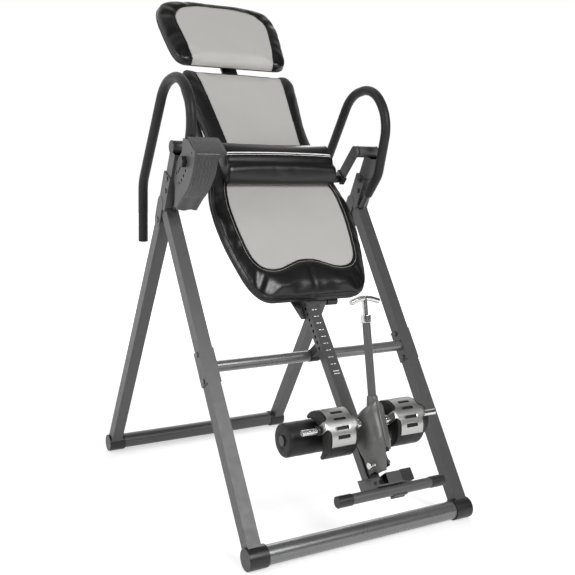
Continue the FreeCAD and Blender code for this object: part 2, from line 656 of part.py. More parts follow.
def table_frame():
    """Welded tubes behind the backrest, each cut to fit the next, with a clevis for each arm."""
    depth = size("frame_tube_depth")
    top = size("frame_top")
    bottom = size("frame_bottom")
    end_inset = 14.0
    guide_z = top - end_inset
    rail_bore = "frame_tube_radius - tube_wall"
    cross_radius = "frame_tube_radius - 0.5"
    cross_bore = cross_radius + " - tube_wall"
    sleeve_half = size("sleeve_width") / 2
    arm_end = size("arm_length") - end_inset
    mid_z = -arm_end * math.sin(math.radians(size("arm_droop")))
    guide = block("headrest_guide", ("headrest_bar_width + 8", "headrest_bar_thick + 6", "70"),
                  (0, depth, guide_z), TABLE)
    slot = block("headrest_slot", ("headrest_bar_width + 0.16", "headrest_bar_thick + 0.16", "120"),
                 (0, depth, guide_z), TABLE)
    pieces = [cut("headrest_guide_sleeve", guide, slot)]
    for side, sign in (("left", -1), ("right", 1)):
        name = side + "_frame"
        rail_x = sign * size("frame_side_offset")
        rail_centre = (rail_x, depth, (top + bottom) / 2)
        rail_length = "frame_top - frame_bottom"
        rail = rod(name + "_rail_space", "frame_tube_radius", rail_length, rail_centre, "Z", TABLE)
        pieces.append(pipe(name + "_rail", "frame_tube_radius", rail_bore, rail_length, rail_centre,
                           "Z", TABLE))
        clevis_x = sign * (size("arm_inner") + size("arm_thick") / 2)
        clevis = block(name + "_clevis", ("arm_thick + 8", "26", "arm_width + 6"),
                       (clevis_x, arm_end + 3, 0), ARM_LINE)
        arm_space = block(name + "_arm_space", ("arm_thick", "arm_length", "arm_width"),
                          (clevis_x, size("arm_length") / 2, 0), ARM_LINE)
        bolt_space = rod(name + "_bolt_space", "bolt_radius", "60",
                         (clevis_x, size("arm_length") - size("arm_bolt_inset"), 0), "X", ARM_LINE)
        pieces.append(cut(name + "_clevis_fork", clevis, arm_space, bolt_space))
        rail_face = size("frame_side_offset")
        clevis_face = size("arm_inner") - 4
        for label, z, start, end in (("low", bottom + end_inset, sleeve_half, rail_face),
                                     ("mid", mid_z, sleeve_half, rail_face),
                                     ("outer", mid_z, rail_face, clevis_face)):
            tube = pipe("%s_%s" % (name, label), cross_radius, cross_bore, str(end - start),
                        (sign * (start + end) / 2, depth, z), "X", TABLE)
            pieces.append(cut("%s_%s_tube" % (name, label), tube, rail))
        guide_half = size("headrest_bar_width") / 2 + 4
        head = pipe(name + "_head", cross_radius, cross_bore, str(rail_face - guide_half),
                    (sign * (guide_half + rail_face) / 2, depth, guide_z), "X", TABLE)
        pieces.append(cut(name + "_head_tube", head, rail))
    return node(together("table_frame", *pieces), "table_frame")


def arm_bolts():
    made = []
    outer = size("arm_inner") + size("arm_thick") + 4
    inner = size("arm_inner") - 4
    spot = size("arm_length") - size("arm_bolt_inset")
    head = size("bolt_head_thick")
    for side, sign in (("left", -1), ("right", 1)):
        name = side + "_arm_bolt"
        shank = rod(name + "_shank", "bolt_radius", str(outer - inner + head),
                    (sign * (outer + inner + head) / 2, spot, 0), "X", ARM_LINE)
        cap = rod(name + "_head", "bolt_head_radius", "bolt_head_thick",
                  (sign * (outer + head / 2), spot, 0), "X", ARM_LINE)
        made.append(fuse(name, shank, cap))
    return node(together("arm_bolts", *made), "arm_bolts")


def shaft_sleeve():
    """Square sleeve welded into the table frame, with a flared mouth at its lower end."""
    depth = size("shaft_front") + size("shaft_thick") / 2
    tall = size("sleeve_top") - size("sleeve_bottom")
    outer = block("sleeve_outer", ("sleeve_width", "sleeve_depth", str(tall)),
                  (0, depth, size("sleeve_bottom") + tall / 2), TABLE)
    back = depth + size("sleeve_depth") / 2
    body = new_body("sleeve_gusset", at(0, back, 0, TABLE))
    sketch = new_sketch(body, "sleeve_gusset_sketch", "XZ")
    low = size("mouth_bottom")
    high = size("mouth_bottom") + 65
    draw(sketch, (-32, low), (32, low), (50, high), (-50, high), (-32, low))
    pad(body, sketch, "saddle_plate", "sleeve_gusset_pad", reverse=True)
    pin_along = size("sleeve_bottom") + 2 * size("bolt_radius")
    boss = rod("sleeve_boss", "2 * bolt_radius", "boss_length",
               ((size("sleeve_width") + size("boss_length")) / 2 - 0.5, depth, pin_along), "X", TABLE)
    bore = block("sleeve_bore", ("shaft_width + 0.16", "shaft_thick + 0.16", "900"), (0, depth, -200), TABLE)
    pin = rod("sleeve_pin_hole", "bolt_radius + running_gap", "80", (50, depth, pin_along), "X", TABLE)
    return node(cut("shaft_sleeve", fuse("sleeve_solid", outer, body, boss), bore, pin), "shaft_sleeve")


# Half outlines of the padded pieces: (half width, along), from the top end to the bottom end.
PAD_SIDE = ((172, 397), (198, 387), (211, 355), (206, 295), (196, 220), (188, 150), (200, 40), (226, -60),
            (244, -140), (246, -210), (237, -300), (222, -370), (203, -430), (175, -466), (140, -478))
HEADREST_SIDE = ((90, 714), (160, 704), (208, 680), (225, 645), (228, 560), (219, 480), (203, 425),
                 (170, 410))


def backrest_pad():
    body = new_body("backrest_pad", at(0, size("pad_front"), 0, TABLE))
    sketch = new_sketch(body, "backrest_sketch", "XZ")
    draw_smooth(sketch, PAD_SIDE)
    pad(body, sketch, "board_front - pad_front", "backrest_foam", reverse=True)
    return node(body, "backrest_pad")


def backrest_board():
    body = new_body("backrest_board", at(0, size("board_front"), 0, TABLE))
    sketch = new_sketch(body, "board_sketch", "XZ")
    inset = size("board_inset")
    inner = [(x - inset, z - inset if z > 0 else z + inset) for x, z in PAD_SIDE]
    draw_smooth(sketch, inner)
    pad(body, sketch, "board_thick", "board_panel", reverse=True)
    return node(body, "backrest_board")


def lumbar_pillow():
    depth = size("pad_front") - size("soft_gap") - size("pillow_thick") / 2
    frame = at(0, depth, size("pillow_along"), TABLE)
    body = new_body("lumbar_pillow", frame)
    sketch = new_sketch(body, "pillow_sketch", "YZ")
    thick = size("pillow_thick") / 2
    tall = size("pillow_height") / 2
    back = size("pillow_back_round")
    front = size("pillow_front_round")
    turn = thick - back                              # depth at which both rounds meet
    diagonal = math.sqrt(0.5)
    back_low = (turn + back * diagonal, -tall + back - back * diagonal)
    front_low = (turn - front * diagonal, -tall + front - front * diagonal)
    draw(sketch, (thick, tall - back), (thick, back - tall), (back_low, (turn, -tall)),
         (front_low, (-thick, front - tall)), (-thick, tall - front),
         ((front_low[0], -front_low[1]), (turn, tall)), ((back_low[0], -back_low[1]), (thick, tall - back)))
    pad(body, sketch, "pillow_length", "pillow_roll", midplane=True)
    return node(body, "lumbar_pillow")


def headrest_pad():
    body = new_body("headrest_pad", at(0, size("headrest_front"), 0, TABLE))
    sketch = new_sketch(body, "headrest_sketch", "XZ")
    draw_smooth(sketch, HEADREST_SIDE)
    pad(body, sketch, "headrest_thick", "headrest_foam", reverse=True)
    return node(body, "headrest_pad")


def headrest_bracket():
    """Flat bar that slides in the frame's guide, with a plate under the headrest."""
    depth = size("frame_tube_depth")
    back = size("headrest_front") + size("headrest_thick")
    bar = block("headrest_bar", ("headrest_bar_width", "headrest_bar_thick", "330"), (0, depth, 415), TABLE)
    reach = depth + size("headrest_bar_thick") / 2 - back
    foot = block("headrest_foot", ("headrest_bar_width", str(reach), "60"),
                 (0, back + reach / 2, 550), TABLE)
    plate = block("headrest_plate", ("240", "4", "150"), (0, back + 2, 560), TABLE)
    return node(fuse("headrest_bracket", bar, foot, plate), "headrest_bracket")


# ---------------------------------------------------------------- leg shaft
SHAFT_MID = size("shaft_front") + size("shaft_thick") / 2


def main_shaft():
    body = new_body("main_shaft", at(0, SHAFT_MID, size("shaft_bottom"), TABLE))
    outline = new_sketch(body, "shaft_sketch", "XY")
    half_w = size("shaft_width") / 2
    half_t = size("shaft_thick") / 2
    wall = size("shaft_wall")
    for grow in (0, wall):
        x = half_w - grow
        y = half_t - grow
        draw(outline, (-x, -y), (x, -y), (x, y), (-x, y), (-x, -y))
    pad(body, outline, "shaft_top - shaft_bottom", "shaft_tube")
    holes = new_sketch(body, "shaft_hole_sketch", "YZ")
    for step in range(20):
        z = size("scale_hole_first") - size("shaft_bottom") + step * size("scale_hole_pitch")
        circle(holes, 0, z, "scale_hole_radius")
    circle(holes, size("roller_depth") - SHAFT_MID, size("roller_along") - size("shaft_bottom"),
           "roller_axle_radius")
    pocket(body, holes, "2 * shaft_width", "shaft_holes")
    return node(body, "main_shaft")


def foot_bracket():
    """Folded bracket at the shaft's lower end: front plate, sole plate, buffer tube, foot tab."""
    front = block("foot_front_plate", ("94", "4", "38"), (-6, size("shaft_front") - 2, -1023), TABLE)
    sole = block("foot_sole_plate", ("80", "100", "4"), (0, 94, size("shaft_bottom") - 2), TABLE)
    stub_outer = block("foot_stub_outer", ("46", "26", "30"), (43, size("shaft_front") - 17, -1018), TABLE)
    stub_inner = block("foot_stub_inner", ("60", "21", "25"), (43, size("shaft_front") - 17, -1018), TABLE)
    tab = block("foot_tab", ("42", "22", "3"), (22, size("foot_bar_depth") + 6,
                size("foot_bar_along") - size("foot_bar_radius") - 1.5), TABLE)
    web = block("foot_web", ("42", "3", "34"), (22, size("foot_bar_depth") + size("foot_bar_radius") + 1.5,
                size("foot_bar_along") - 1), TABLE)
    solid = fuse("foot_bracket_solid", front, sole, stub_outer, tab, web)
    return node(cut("foot_bracket", solid, stub_inner), "foot_bracket")


def foot_screws():
    made = []
    for i, x in enumerate((-4, 12)):
        made.append(rod("foot_screw_%d" % i, "bolt_radius + 1", "2.4",
                        (x, size("shaft_front") - 5.2, -1020 + 2 * i), "Y", TABLE))
    return node(together("foot_screws", *made), "foot_screws")


def rubber_block():
    plug = block("rubber_plug", ("20", "21", "25"), (56, size("shaft_front") - 17, -1018), TABLE)
    head = block("rubber_head", ("36", "28", "33"), (84, size("shaft_front") - 17, -1018), TABLE)
    return node(fuse("foot_rubber_block", plug, head), "foot_rubber_block")


def foot_bar():
    centre = (0, size("foot_bar_depth"), size("foot_bar_along"))
    bar = pipe("foot_bar", "foot_bar_radius", "foot_bar_radius - tube_wall", "2 * foot_bar_half",
               centre, "X", TABLE)
    return node(bar, "foot_bar")


def foot_bar_caps():
    made = []
    for side, sign in (("left", -1), ("right", 1)):
        name = side + "_foot_bar_cap"
        centre = sign * (size("foot_bar_half_overall") - size("foot_bar_cap_length") / 2)
        shell = rod(name + "_shell", "foot_bar_cap_radius", "foot_bar_cap_length",
                    (centre, size("foot_bar_depth"), size("foot_bar_along")), "X", TABLE)
        space = rod(name + "_space", "foot_bar_radius", "2 * foot_bar_half",
                    (0, size("foot_bar_depth"), size("foot_bar_along")), "X", TABLE)
        made.append(cut(name, shell, space))
    return node(together("foot_bar_caps", *made), "foot_bar_caps")


def roller_axle():
    centre = (0, size("roller_depth"), size("roller_along"))
    bar = rod("roller_axle_bar", "roller_axle_radius", "2 * roller_outer + 3", centre, "X", TABLE)
    ends = []
    for side, sign in (("left", -1), ("right", 1)):
        x = sign * (size("roller_outer") + 2.2)
        ends.append(rod(side + "_axle_end", "roller_axle_radius + 6", "3",
                        (x, size("roller_depth"), size("roller_along")), "X", TABLE))
        ends.append(rod(side + "_axle_stop", "roller_axle_radius + 3", "4",
                        (sign * (size("roller_inner") - 2.6), size("roller_depth"),
                         size("roller_along")), "X", TABLE))
    return node(fuse("roller_axle", bar, *ends), "roller_axle")


def heel_roller(side, sign):
    name = side + "_heel_roller"
    x = sign * (size("roller_inner") + size("roller_outer")) / 2
    roll = pipe(name, "roller_radius", "roller_axle_radius + running_gap", "roller_outer - roller_inner",
                (x, size("roller_depth"), size("roller_along")), "X", TABLE)
    return node(roll, name)


def lever_bracket():
    """Two cheeks and a back plate on the shaft, which hold the ankle lever's bolt."""
    back = block("lever_back", ("30", "4", "60"),
                 (0, size("shaft_front") - 2, size("lever_along") + 12), TABLE)
    depth_span = size("shaft_front") - size("lever_depth") + 10
    cheeks = [block("lever_cheek_%d" % i, ("4", str(depth_span), "41"),
                    (x, size("shaft_front") - depth_span / 2, size("lever_along") + 9.5), TABLE)
              for i, x in enumerate((-13, 13))]
    bolt_space = rod("lever_bolt_space", "lever_bolt_radius", "80",
                     (0, size("lever_depth"), size("lever_along")), "X", TABLE)
    return node(cut("lever_bracket", fuse("lever_bracket_solid", back, *cheeks), bolt_space), "lever_bracket")


def lever_pivot_bolt():
    depth, along = size("lever_depth"), size("lever_along")
    head_face = -size("lever_shell_half") - 0.4
    tip = 23.0
    shank = rod("lever_bolt_shank", "lever_bolt_radius", str(tip - head_face),
                ((tip + head_face) / 2, depth, along), "X", TABLE)
    head = rod("lever_bolt_head", "lever_bolt_radius + 4", "4", (head_face - 2, depth, along), "X", TABLE)
    nut = rod("lever_bolt_nut", "lever_bolt_radius + 3", "5", (17.5, depth, along), "X", TABLE)
    return node(fuse("lever_pivot_bolt", shank, head, nut), "lever_pivot_bolt")


def scale_pin():
    """Spring plunger that picks the leg length; its tip stops beside the shaft."""
    depth = SHAFT_MID
    along = size("sleeve_bottom") + 2 * size("bolt_radius")
    tip = size("shaft_width") / 2 + size("soft_gap")
    knob_start = size("sleeve_width") / 2 + size("boss_length")
    pin_length = knob_start + 2 - tip
    pin = rod("selector_pin", "bolt_radius", str(pin_length),
              (tip + pin_length / 2, depth, along), "X", TABLE)
    knob = rod("selector_knob", "3 * bolt_radius", "36", (knob_start + 18, depth, along), "X", TABLE)
    return node(fuse("height_selector_knob", pin, knob), "height_selector_knob")


# ---------------------------------------------------------------- ankle lever
LEVER_BASE = V(0, 2, -835)                       # a point on the lever tube's axis, at the neck
LEVER_TURN = ROT(X_AXIS, size("lever_tube_lean"))
LEVER_LINE = TABLE * PLACE(LEVER_BASE, LEVER_TURN)


def lever_tube():
    tube = pipe("lever_tube", "lever_tube_radius", "handle_rod_radius + running_gap + 0.04", "266",
                (0, 0, 89), "Z", LEVER_LINE)
    return node(tube, "lever_tube")


def lever_collar():
    shell = rod("lever_collar_shell", "lever_tube_radius + 3", "20", (0, 0, 218), "Z", LEVER_LINE)
    tube = rod("lever_collar_tube", "lever_tube_radius", "30", (0, 0, 207), "Z", LEVER_LINE)
    bore = rod("lever_collar_bore", "handle_rod_radius + running_gap", "60", (0, 0, 221), "Z", LEVER_LINE)
    return node(cut("lever_collar", shell, tube, bore), "lever_collar")


def t_handle():
    stem = rod("t_handle_stem", "handle_rod_radius", "125", (0, 0, 212.5), "Z", LEVER_LINE)
    bar = bent_rod("t_handle_bar", "handle_bar_radius", [V(-44, 0, 263), V(0, 0, 277), V(44, 0, 263)],
                   (90,), LEVER_LINE)
    return node(fuse("t_handle", stem, bar), "t_handle")


def shell_outline(inset):
    """Side outline of the lever housing: (depth, along)."""
    return [(-14 + inset, -842), (-6 + inset, -868), (0 + inset, -905), (13 + inset, -950),
            (34 + inset, -990), (44, -1004 + inset), (66, -1006 + inset), (80 - inset, -985),
            (86 - inset, -940), (84 - inset, -900), (66 - inset, -866 - inset), (34, -852 - inset),
            (22, -842)]


def lever_shell(side, sign):
    name = side + "_lever_shell"
    body = new_body(name + "_body", TABLE)
    outside = new_sketch(body, name + "_outline", "YZ", sign * 0.15)
    draw(outside, *(shell_outline(0) + [shell_outline(0)[0]]))
    pad(body, outside, "lever_shell_half", name + "_pad", reverse=sign < 0)
    hollow_line = shell_outline(size("lever_shell_wall"))
    open_back = [(p[0] + 16, p[1]) if p[0] > 60 else p for p in hollow_line[:-1]]
    hollow = new_sketch(body, name + "_hollow_outline", "YZ", sign * 0.15)
    draw(hollow, *(open_back + [open_back[0]]))
    pocket(body, hollow, "lever_shell_half - lever_shell_wall", name + "_hollow", midplane=False,
           reverse=sign > 0)
    neck = rod(name + "_neck", "2 * lever_tube_radius", "30", (0, 0, 0), "Z", LEVER_LINE)
    half_space = block(name + "_half", ("80", "120", "220"), (sign * (40 + 0.15), 20, -880), TABLE)
    half_neck = doc.addObject("Part::Common", name + "_half_neck")
    half_neck.Base = neck
    half_neck.Tool = half_space
    tube = rod(name + "_tube", "lever_tube_radius", "290", (0, 0, 65), "Z", LEVER_LINE)
    cup_rod_space = rod(name + "_rod", "cup_rod_radius", "120",
                        (0, size("cup_rod_depth"), size("cup_rod_along")), "X", TABLE)
    bolt = rod(name + "_bolt", "lever_bolt_radius + running_gap", "120",
               (0, size("lever_depth"), size("lever_along")), "X", TABLE)
    tools = [tube, cup_rod_space, bolt]
    if sign > 0:
        tools.append(block(name + "_short", ("60", "160", "80"), (30, 50, -1002), TABLE))
    return node(cut(name, fuse(name + "_solid", body, half_neck), *tools), name)


def cup_rod():
    centre = (0, size("cup_rod_depth"), size("cup_rod_along"))
    bar = rod("cup_rod_bar", "cup_rod_radius", "2 * cup_rod_half", centre, "X", TABLE)
    rings = []
    for side, sign in (("left", -1), ("right", 1)):
        x = sign * (size("lever_shell_half") + 6.5)
        rings.append(rod(side + "_rod_collar", "cup_rod_radius + 6", "12",
                         (x, size("cup_rod_depth"), size("cup_rod_along")), "X", TABLE))
    return node(fuse("cup_rod", bar, *rings), "cup_rod")


def rod_end_collars():
    made = []
    for side, sign in (("left", -1), ("right", 1)):
        name = side + "_rod_end_collar"
        x = sign * (size("cup_offset") + size("cup_foam_width") / 2 + 10.3)
        made.append(pipe(name, "cup_rod_radius + 4", "cup_rod_radius", "10",
                         (x, size("cup_rod_depth"), size("cup_rod_along")), "X", TABLE))
    return node(together("rod_end_collars", *made), "rod_end_collars")


def cup_shell(side, sign):
    """Curved steel shell with an ear at each side, which swivels on the rod."""
    name = side + "_ankle_cup"
    x = sign * size("cup_offset")
    centre = (x, size("cup_centre_depth"), size("cup_rod_along"))
    outer = rod(name + "_outer", "cup_radius + cup_metal", "cup_metal_width", centre, "X", TABLE)
    band = rod(name + "_band", "cup_radius + cup_metal", "cup_foam_width + 10", centre, "X", TABLE)
    band_limit = block(name + "_band_limit", ("200", "60", "27"),
                       (x, size("cup_centre_depth") - 46, size("cup_rod_along")), TABLE)
    narrow = doc.addObject("Part::Common", name + "_narrow")
    narrow.Base = band
    narrow.Tool = band_limit
    inner = rod(name + "_inner", "cup_radius", "cup_foam_width + 2", centre, "X", TABLE)
    behind = block(name + "_behind", ("300", "200", "300"),
                   (x, size("cup_centre_depth") + 100 - 40, size("cup_rod_along")), TABLE)
    slots = [block("%s_slot_%d" % (name, i), ("27", "40", "6.5"),
                   (x, size("cup_centre_depth") - 58, size("cup_rod_along") + along), TABLE)
             for i, along in enumerate((34, 14, -12, -33))]
    bore = rod(name + "_bore", "cup_rod_radius + running_gap", "300",
               (x, size("cup_rod_depth"), size("cup_rod_along")), "X", TABLE)
    arc = cut(name + "_arc", fuse(name + "_metal", outer, narrow), inner, behind, *slots)
    ears = []
    reach = size("cup_rod_depth") - size("cup_centre_depth") + size("cup_radius")
    half = (size("cup_foam_width") + 10 - size("cup_metal")) / 2
    for i, ear_x in enumerate((x - half, x + half)):
        ears.append(block("%s_ear_%d" % (name, i), ("cup_metal", str(reach + 1), "24"),
                          (ear_x, size("cup_rod_depth") - (reach + 1) / 2, size("cup_rod_along")), TABLE))
        ears.append(rod("%s_eye_%d" % (name, i), "12", "cup_metal",
                        (ear_x, size("cup_rod_depth"), size("cup_rod_along")), "X", TABLE))
    return node(cut(name + "_shell", fuse(name + "_solid", arc, *ears), bore), name + "_shell")


def cup_foam(side, sign):
    name = side + "_ankle_cup_foam"
    x = sign * size("cup_offset")
    body = rod(name + "_round", "cup_radius - soft_gap / 3", "cup_foam_width",
               (x, size("cup_centre_depth"), size("cup_rod_along")), "X", TABLE)
    cavity = rod(name + "_cavity", "cup_cavity_radius", "cup_foam_width + 2",
                 (x, size("cup_cavity_depth"), size("cup_rod_along")), "X", TABLE)
    behind = block(name + "_behind", ("300", "200", "300"),
                   (x, size("cup_centre_depth") + 100 + 16, size("cup_rod_along")), TABLE)
    bore = rod(name + "_bore", "cup_rod_radius + running_gap", "300",
               (x, size("cup_rod_depth"), size("cup_rod_along")), "X", TABLE)
    return node(cut(name, body, cavity, behind, bore), name)


def stop_knob():
    """Lobed pull knob; its pin crosses the left arm's path and stops the tilt."""
    spot = polar(size("stop_pin_reach"), size("stop_pin_angle"))
    plate_out = size("stop_plate_offset") + size("stop_plate_thick") / 2
    pin_length = plate_out + 1 - size("stop_pin_tip")
    pin = rod("stop_pin", "stop_pin_radius", str(pin_length),
              (-size("stop_pin_tip") - pin_length / 2, spot[0], spot[1]), "X", PIVOT)
    outer = size("overall_width") / 2
    thick = outer - plate_out - 0.4
    hub = rod("stop_knob_hub", "stop_knob_radius - 3", str(thick),
              (-outer + thick / 2, spot[0], spot[1]), "X", PIVOT)
    lobes = []
    for i in range(6):
        angle = math.radians(60 * i)
        reach = size("stop_knob_radius") - 4.5
        lobes.append(rod("stop_knob_lobe_%d" % i, "4.5", str(thick),
                         (-outer + thick / 2, spot[0] + reach * math.cos(angle),
                          spot[1] + reach * math.sin(angle)), "X", PIVOT))
    return node(fuse("angle_stop_knob", pin, hub, *lobes), "angle_stop_knob")


# ---------------------------------------------------------------- assembly
def build_front_frame():
    base_tube("front_base_tube", FRONT_Y)
    foot_caps("front_foot_caps", FRONT_Y, FRONT_LEG)
    both_sides(front_leg)
    crossbar()
    saddles()
    saddle_bolts()
    shaft_rest()
    both_sides(post_socket)
    both_sides(pivot_post)
    socket_bolts()
    pivot_caps()
    pivot_bushes()
    both_sides(handlebar)
    angle_stop_plate()
    finger_guard()
    hinge_bolts()


def build_rear_frame():
    base_tube("rear_base_tube", REAR_Y)
    foot_caps("rear_foot_caps", REAR_Y, REAR_LEG)
    both_sides(rear_leg)


def build_table():
    both_sides(pivot_arm)
    table_frame()
    arm_bolts()
    shaft_sleeve()
    backrest_board()
    backrest_pad()
    lumbar_pillow()
    headrest_pad()
    headrest_bracket()


def build_shaft_and_lever():
    main_shaft()
    foot_bracket()
    foot_screws()
    rubber_block()
    foot_bar()
    foot_bar_caps()
    roller_axle()
    both_sides(heel_roller)
    lever_bracket()
    lever_pivot_bolt()
    scale_pin()
    lever_tube()
    lever_collar()
    t_handle()
    both_sides(lever_shell)
    cup_rod()
    rod_end_collars()
    both_sides(cup_shell)
    both_sides(cup_foam)
    stop_knob()


build_front_frame()
build_rear_frame()
build_table()
build_shaft_and_lever()
doc.recompute()

problems = [obj.Name for obj in doc.Objects if "Invalid" in obj.State or "Error" in obj.State]
for name, obj in NODES:
    if obj.Shape.isNull() or not obj.Shape.isValid() or not obj.Shape.Solids:
        problems.append(name)
if problems:
    raise SystemExit("failed: " + ", ".join(problems))

os.makedirs("parts", exist_ok=True)
for name, obj in NODES:
    obj.Shape.exportStep("parts/%s.step" % name)
whole = Part.makeCompound([obj.Shape for name, obj in NODES]).BoundBox
print(len(NODES), "sub-parts; size %.1f x %.1f x %.1f mm" % (whole.XLength, whole.YLength, whole.ZLength))
print("middle of the box: %.2f %.2f, lowest %.2f" % (whole.Center.x, whole.Center.y, whole.ZMin))
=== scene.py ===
import json
import math

import bmesh
import bpy
from mathutils import Matrix, Vector, noise
from mathutils.bvhtree import BVHTree
from mathutils.kdtree import KDTree


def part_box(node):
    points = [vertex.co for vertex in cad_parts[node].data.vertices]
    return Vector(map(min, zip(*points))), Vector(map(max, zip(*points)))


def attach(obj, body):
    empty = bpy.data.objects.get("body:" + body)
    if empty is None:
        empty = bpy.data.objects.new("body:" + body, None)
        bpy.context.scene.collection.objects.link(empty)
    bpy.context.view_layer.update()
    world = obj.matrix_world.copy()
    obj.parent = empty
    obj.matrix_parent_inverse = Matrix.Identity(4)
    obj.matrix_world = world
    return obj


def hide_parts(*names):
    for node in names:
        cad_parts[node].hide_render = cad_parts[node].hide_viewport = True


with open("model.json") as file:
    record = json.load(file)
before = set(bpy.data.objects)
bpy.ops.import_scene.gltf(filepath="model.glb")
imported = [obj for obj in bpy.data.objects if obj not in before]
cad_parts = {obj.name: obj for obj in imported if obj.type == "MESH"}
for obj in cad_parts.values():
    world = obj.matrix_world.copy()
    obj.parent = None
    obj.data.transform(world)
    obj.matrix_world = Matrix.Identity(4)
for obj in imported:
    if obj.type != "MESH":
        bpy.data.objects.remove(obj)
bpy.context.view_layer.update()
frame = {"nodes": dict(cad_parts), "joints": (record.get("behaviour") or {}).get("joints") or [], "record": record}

MM = 0.001
JOINTS = {joint["name"]: joint for joint in frame["joints"]}
BODY_OF = {name: body for body, names in frame["record"]["behaviour"]["bodies"].items() for name in names}
SLOT_OF = {part["node"]: part["material_slot"] for part in frame["record"]["subparts"]}

PIVOT = Vector(JOINTS["table_tilt"]["pos_m"])
RIGHT = Vector((1, 0, 0))


def local_frame(origin, up):
    """A frame whose Z runs along up and whose Y points to the back of the table."""
    up = up.normalized()
    back = up.cross(RIGHT)
    axes = Matrix((RIGHT, back, up)).transposed()
    return Matrix.Translation(origin) @ axes.to_4x4()


TABLE = local_frame(PIVOT, Vector(JOINTS["leg_length"]["axis"]))
LEVER = local_frame(TABLE @ (Vector((0, 2, -835)) * MM), Vector(JOINTS["lever_handle_pull"]["axis"]))


# ---------------------------------------------------------------- materials
class Surface:
    """A material built around one Principled shader, in object coordinates."""

    def __init__(self, name, colour, roughness, metallic=0.0):
        self.material = bpy.data.materials.new(name)
        self.material.use_nodes = True
        self.nodes = self.material.node_tree.nodes
        self.links = self.material.node_tree.links
        self.shader = self.nodes["Principled BSDF"]
        self.coords = self.nodes.new("ShaderNodeTexCoord").outputs["Object"]
        self.colour = colour
        self.normal = None
        self.set("Base Color", (*colour, 1.0))
        self.set("Roughness", roughness)
        self.set("Metallic", metallic)

    def set(self, socket, value):
        self.shader.inputs[socket].default_value = value
        return self

    def join(self, source, target):
        self.links.new(source, target)

    def stretched(self, scale):
        mapping = self.nodes.new("ShaderNodeMapping")
        mapping.inputs["Scale"].default_value = scale
        self.join(self.coords, mapping.inputs["Vector"])
        return mapping.outputs["Vector"]

    def noise(self, scale, detail=3.0, stretch=(1, 1, 1), rough=0.5):
        node = self.nodes.new("ShaderNodeTexNoise")
        node.inputs["Scale"].default_value = scale
        node.inputs["Detail"].default_value = detail
        node.inputs["Roughness"].default_value = rough
        self.join(self.stretched(stretch), node.inputs["Vector"])
        return node.outputs["Fac"]

    def pebbles(self, scale):
        node = self.nodes.new("ShaderNodeTexVoronoi")
        node.feature = "SMOOTH_F1"
        node.inputs["Scale"].default_value = scale
        self.join(self.coords, node.inputs["Vector"])
        return node.outputs["Distance"]

    def waves(self, scale, direction, distortion=0.0):
        node = self.nodes.new("ShaderNodeTexWave")
        node.bands_direction = direction
        node.inputs["Scale"].default_value = scale
        node.inputs["Distortion"].default_value = distortion
        self.join(self.coords, node.inputs["Vector"])
        return node.outputs["Fac"]

    def spread(self, factor, low, high):
        node = self.nodes.new("ShaderNodeMapRange")
        node.inputs["From Min"].default_value = 0.3
        node.inputs["From Max"].default_value = 0.7
        node.inputs["To Min"].default_value = low
        node.inputs["To Max"].default_value = high
        self.join(factor, node.inputs["Value"])
        return node.outputs["Result"]

    def mottle(self, factor, darker, lighter):
        """Colour that varies between darker and lighter multiples of the base colour."""
        ramp = self.nodes.new("ShaderNodeValToRGB")
        ramp.color_ramp.elements[0].position = 0.3
        ramp.color_ramp.elements[1].position = 0.7
        ramp.color_ramp.elements[0].color = (*[c * darker for c in self.colour], 1)
        ramp.color_ramp.elements[1].color = (*[min(1.0, c * lighter) for c in self.colour], 1)
        self.join(factor, ramp.inputs["Fac"])
        self.join(ramp.outputs["Color"], self.shader.inputs["Base Color"])
        return self

    def painted_edge_highlight(self, lift):
        """Convex edges painted a little lighter: a painted highlight along them."""
        point = self.nodes.new("ShaderNodeNewGeometry").outputs["Pointiness"]
        ramp = self.nodes.new("ShaderNodeMapRange")
        ramp.inputs["From Min"].default_value = 0.56
        ramp.inputs["From Max"].default_value = 0.7
        self.join(point, ramp.inputs["Value"])
        mix = self.nodes.new("ShaderNodeMix")
        mix.data_type = "RGBA"
        base = self.shader.inputs["Base Color"]
        source = base.links[0].from_socket if base.links else None
        if source:
            self.join(source, mix.inputs["A"])
        else:
            mix.inputs["A"].default_value = (*self.colour, 1)
        mix.inputs["B"].default_value = (*[min(1.0, c * lift) for c in self.colour], 1)
        self.join(ramp.outputs["Result"], mix.inputs["Factor"])
        self.join(mix.outputs["Result"], base)
        return self

    def uneven_gloss(self, factor, low, high):
        self.join(self.spread(factor, low, high), self.shader.inputs["Roughness"])
        return self

    def bump(self, height, strength, distance):
        node = self.nodes.new("ShaderNodeBump")
        node.inputs["Strength"].default_value = strength
        node.inputs["Distance"].default_value = distance
        self.join(height, node.inputs["Height"])
        if self.normal:
            self.join(self.normal, node.inputs["Normal"])
        self.normal = node.outputs["Normal"]
        self.join(self.normal, self.shader.inputs["Normal"])
        return self


def powder_coat(name, colour, roughness=0.42, metallic=0.35, edge_highlight_and_texture=True):
    surface = Surface(name, colour, roughness, metallic)
    surface.mottle(surface.noise(1500, 2), 0.95, 1.05)
    # convex edges get a painted highlight, a lighter colour where Pointiness is high
    if edge_highlight_and_texture:
        surface.painted_edge_highlight(1.25)
    swing = 0.045 if edge_highlight_and_texture else 0.01
    surface.uneven_gloss(surface.noise(60), roughness - swing, roughness + swing)
    surface.bump(surface.noise(1100, 2), 0.1 if edge_highlight_and_texture else 0.015, 0.0003)
    return surface.material


def smooth_paint(name, colour, roughness=0.3):
    surface = Surface(name, colour, roughness)
    # convex edges get a painted highlight, 1.6 times lighter
    surface.mottle(surface.noise(25), 0.9, 1.12).painted_edge_highlight(1.6)
    surface.uneven_gloss(surface.noise(40), roughness - 0.05, roughness + 0.1)
    surface.bump(surface.noise(400), 0.12, 0.0002)
    surface.set("Coat Weight", 0.2).set("Coat Roughness", 0.2)
    return surface.material


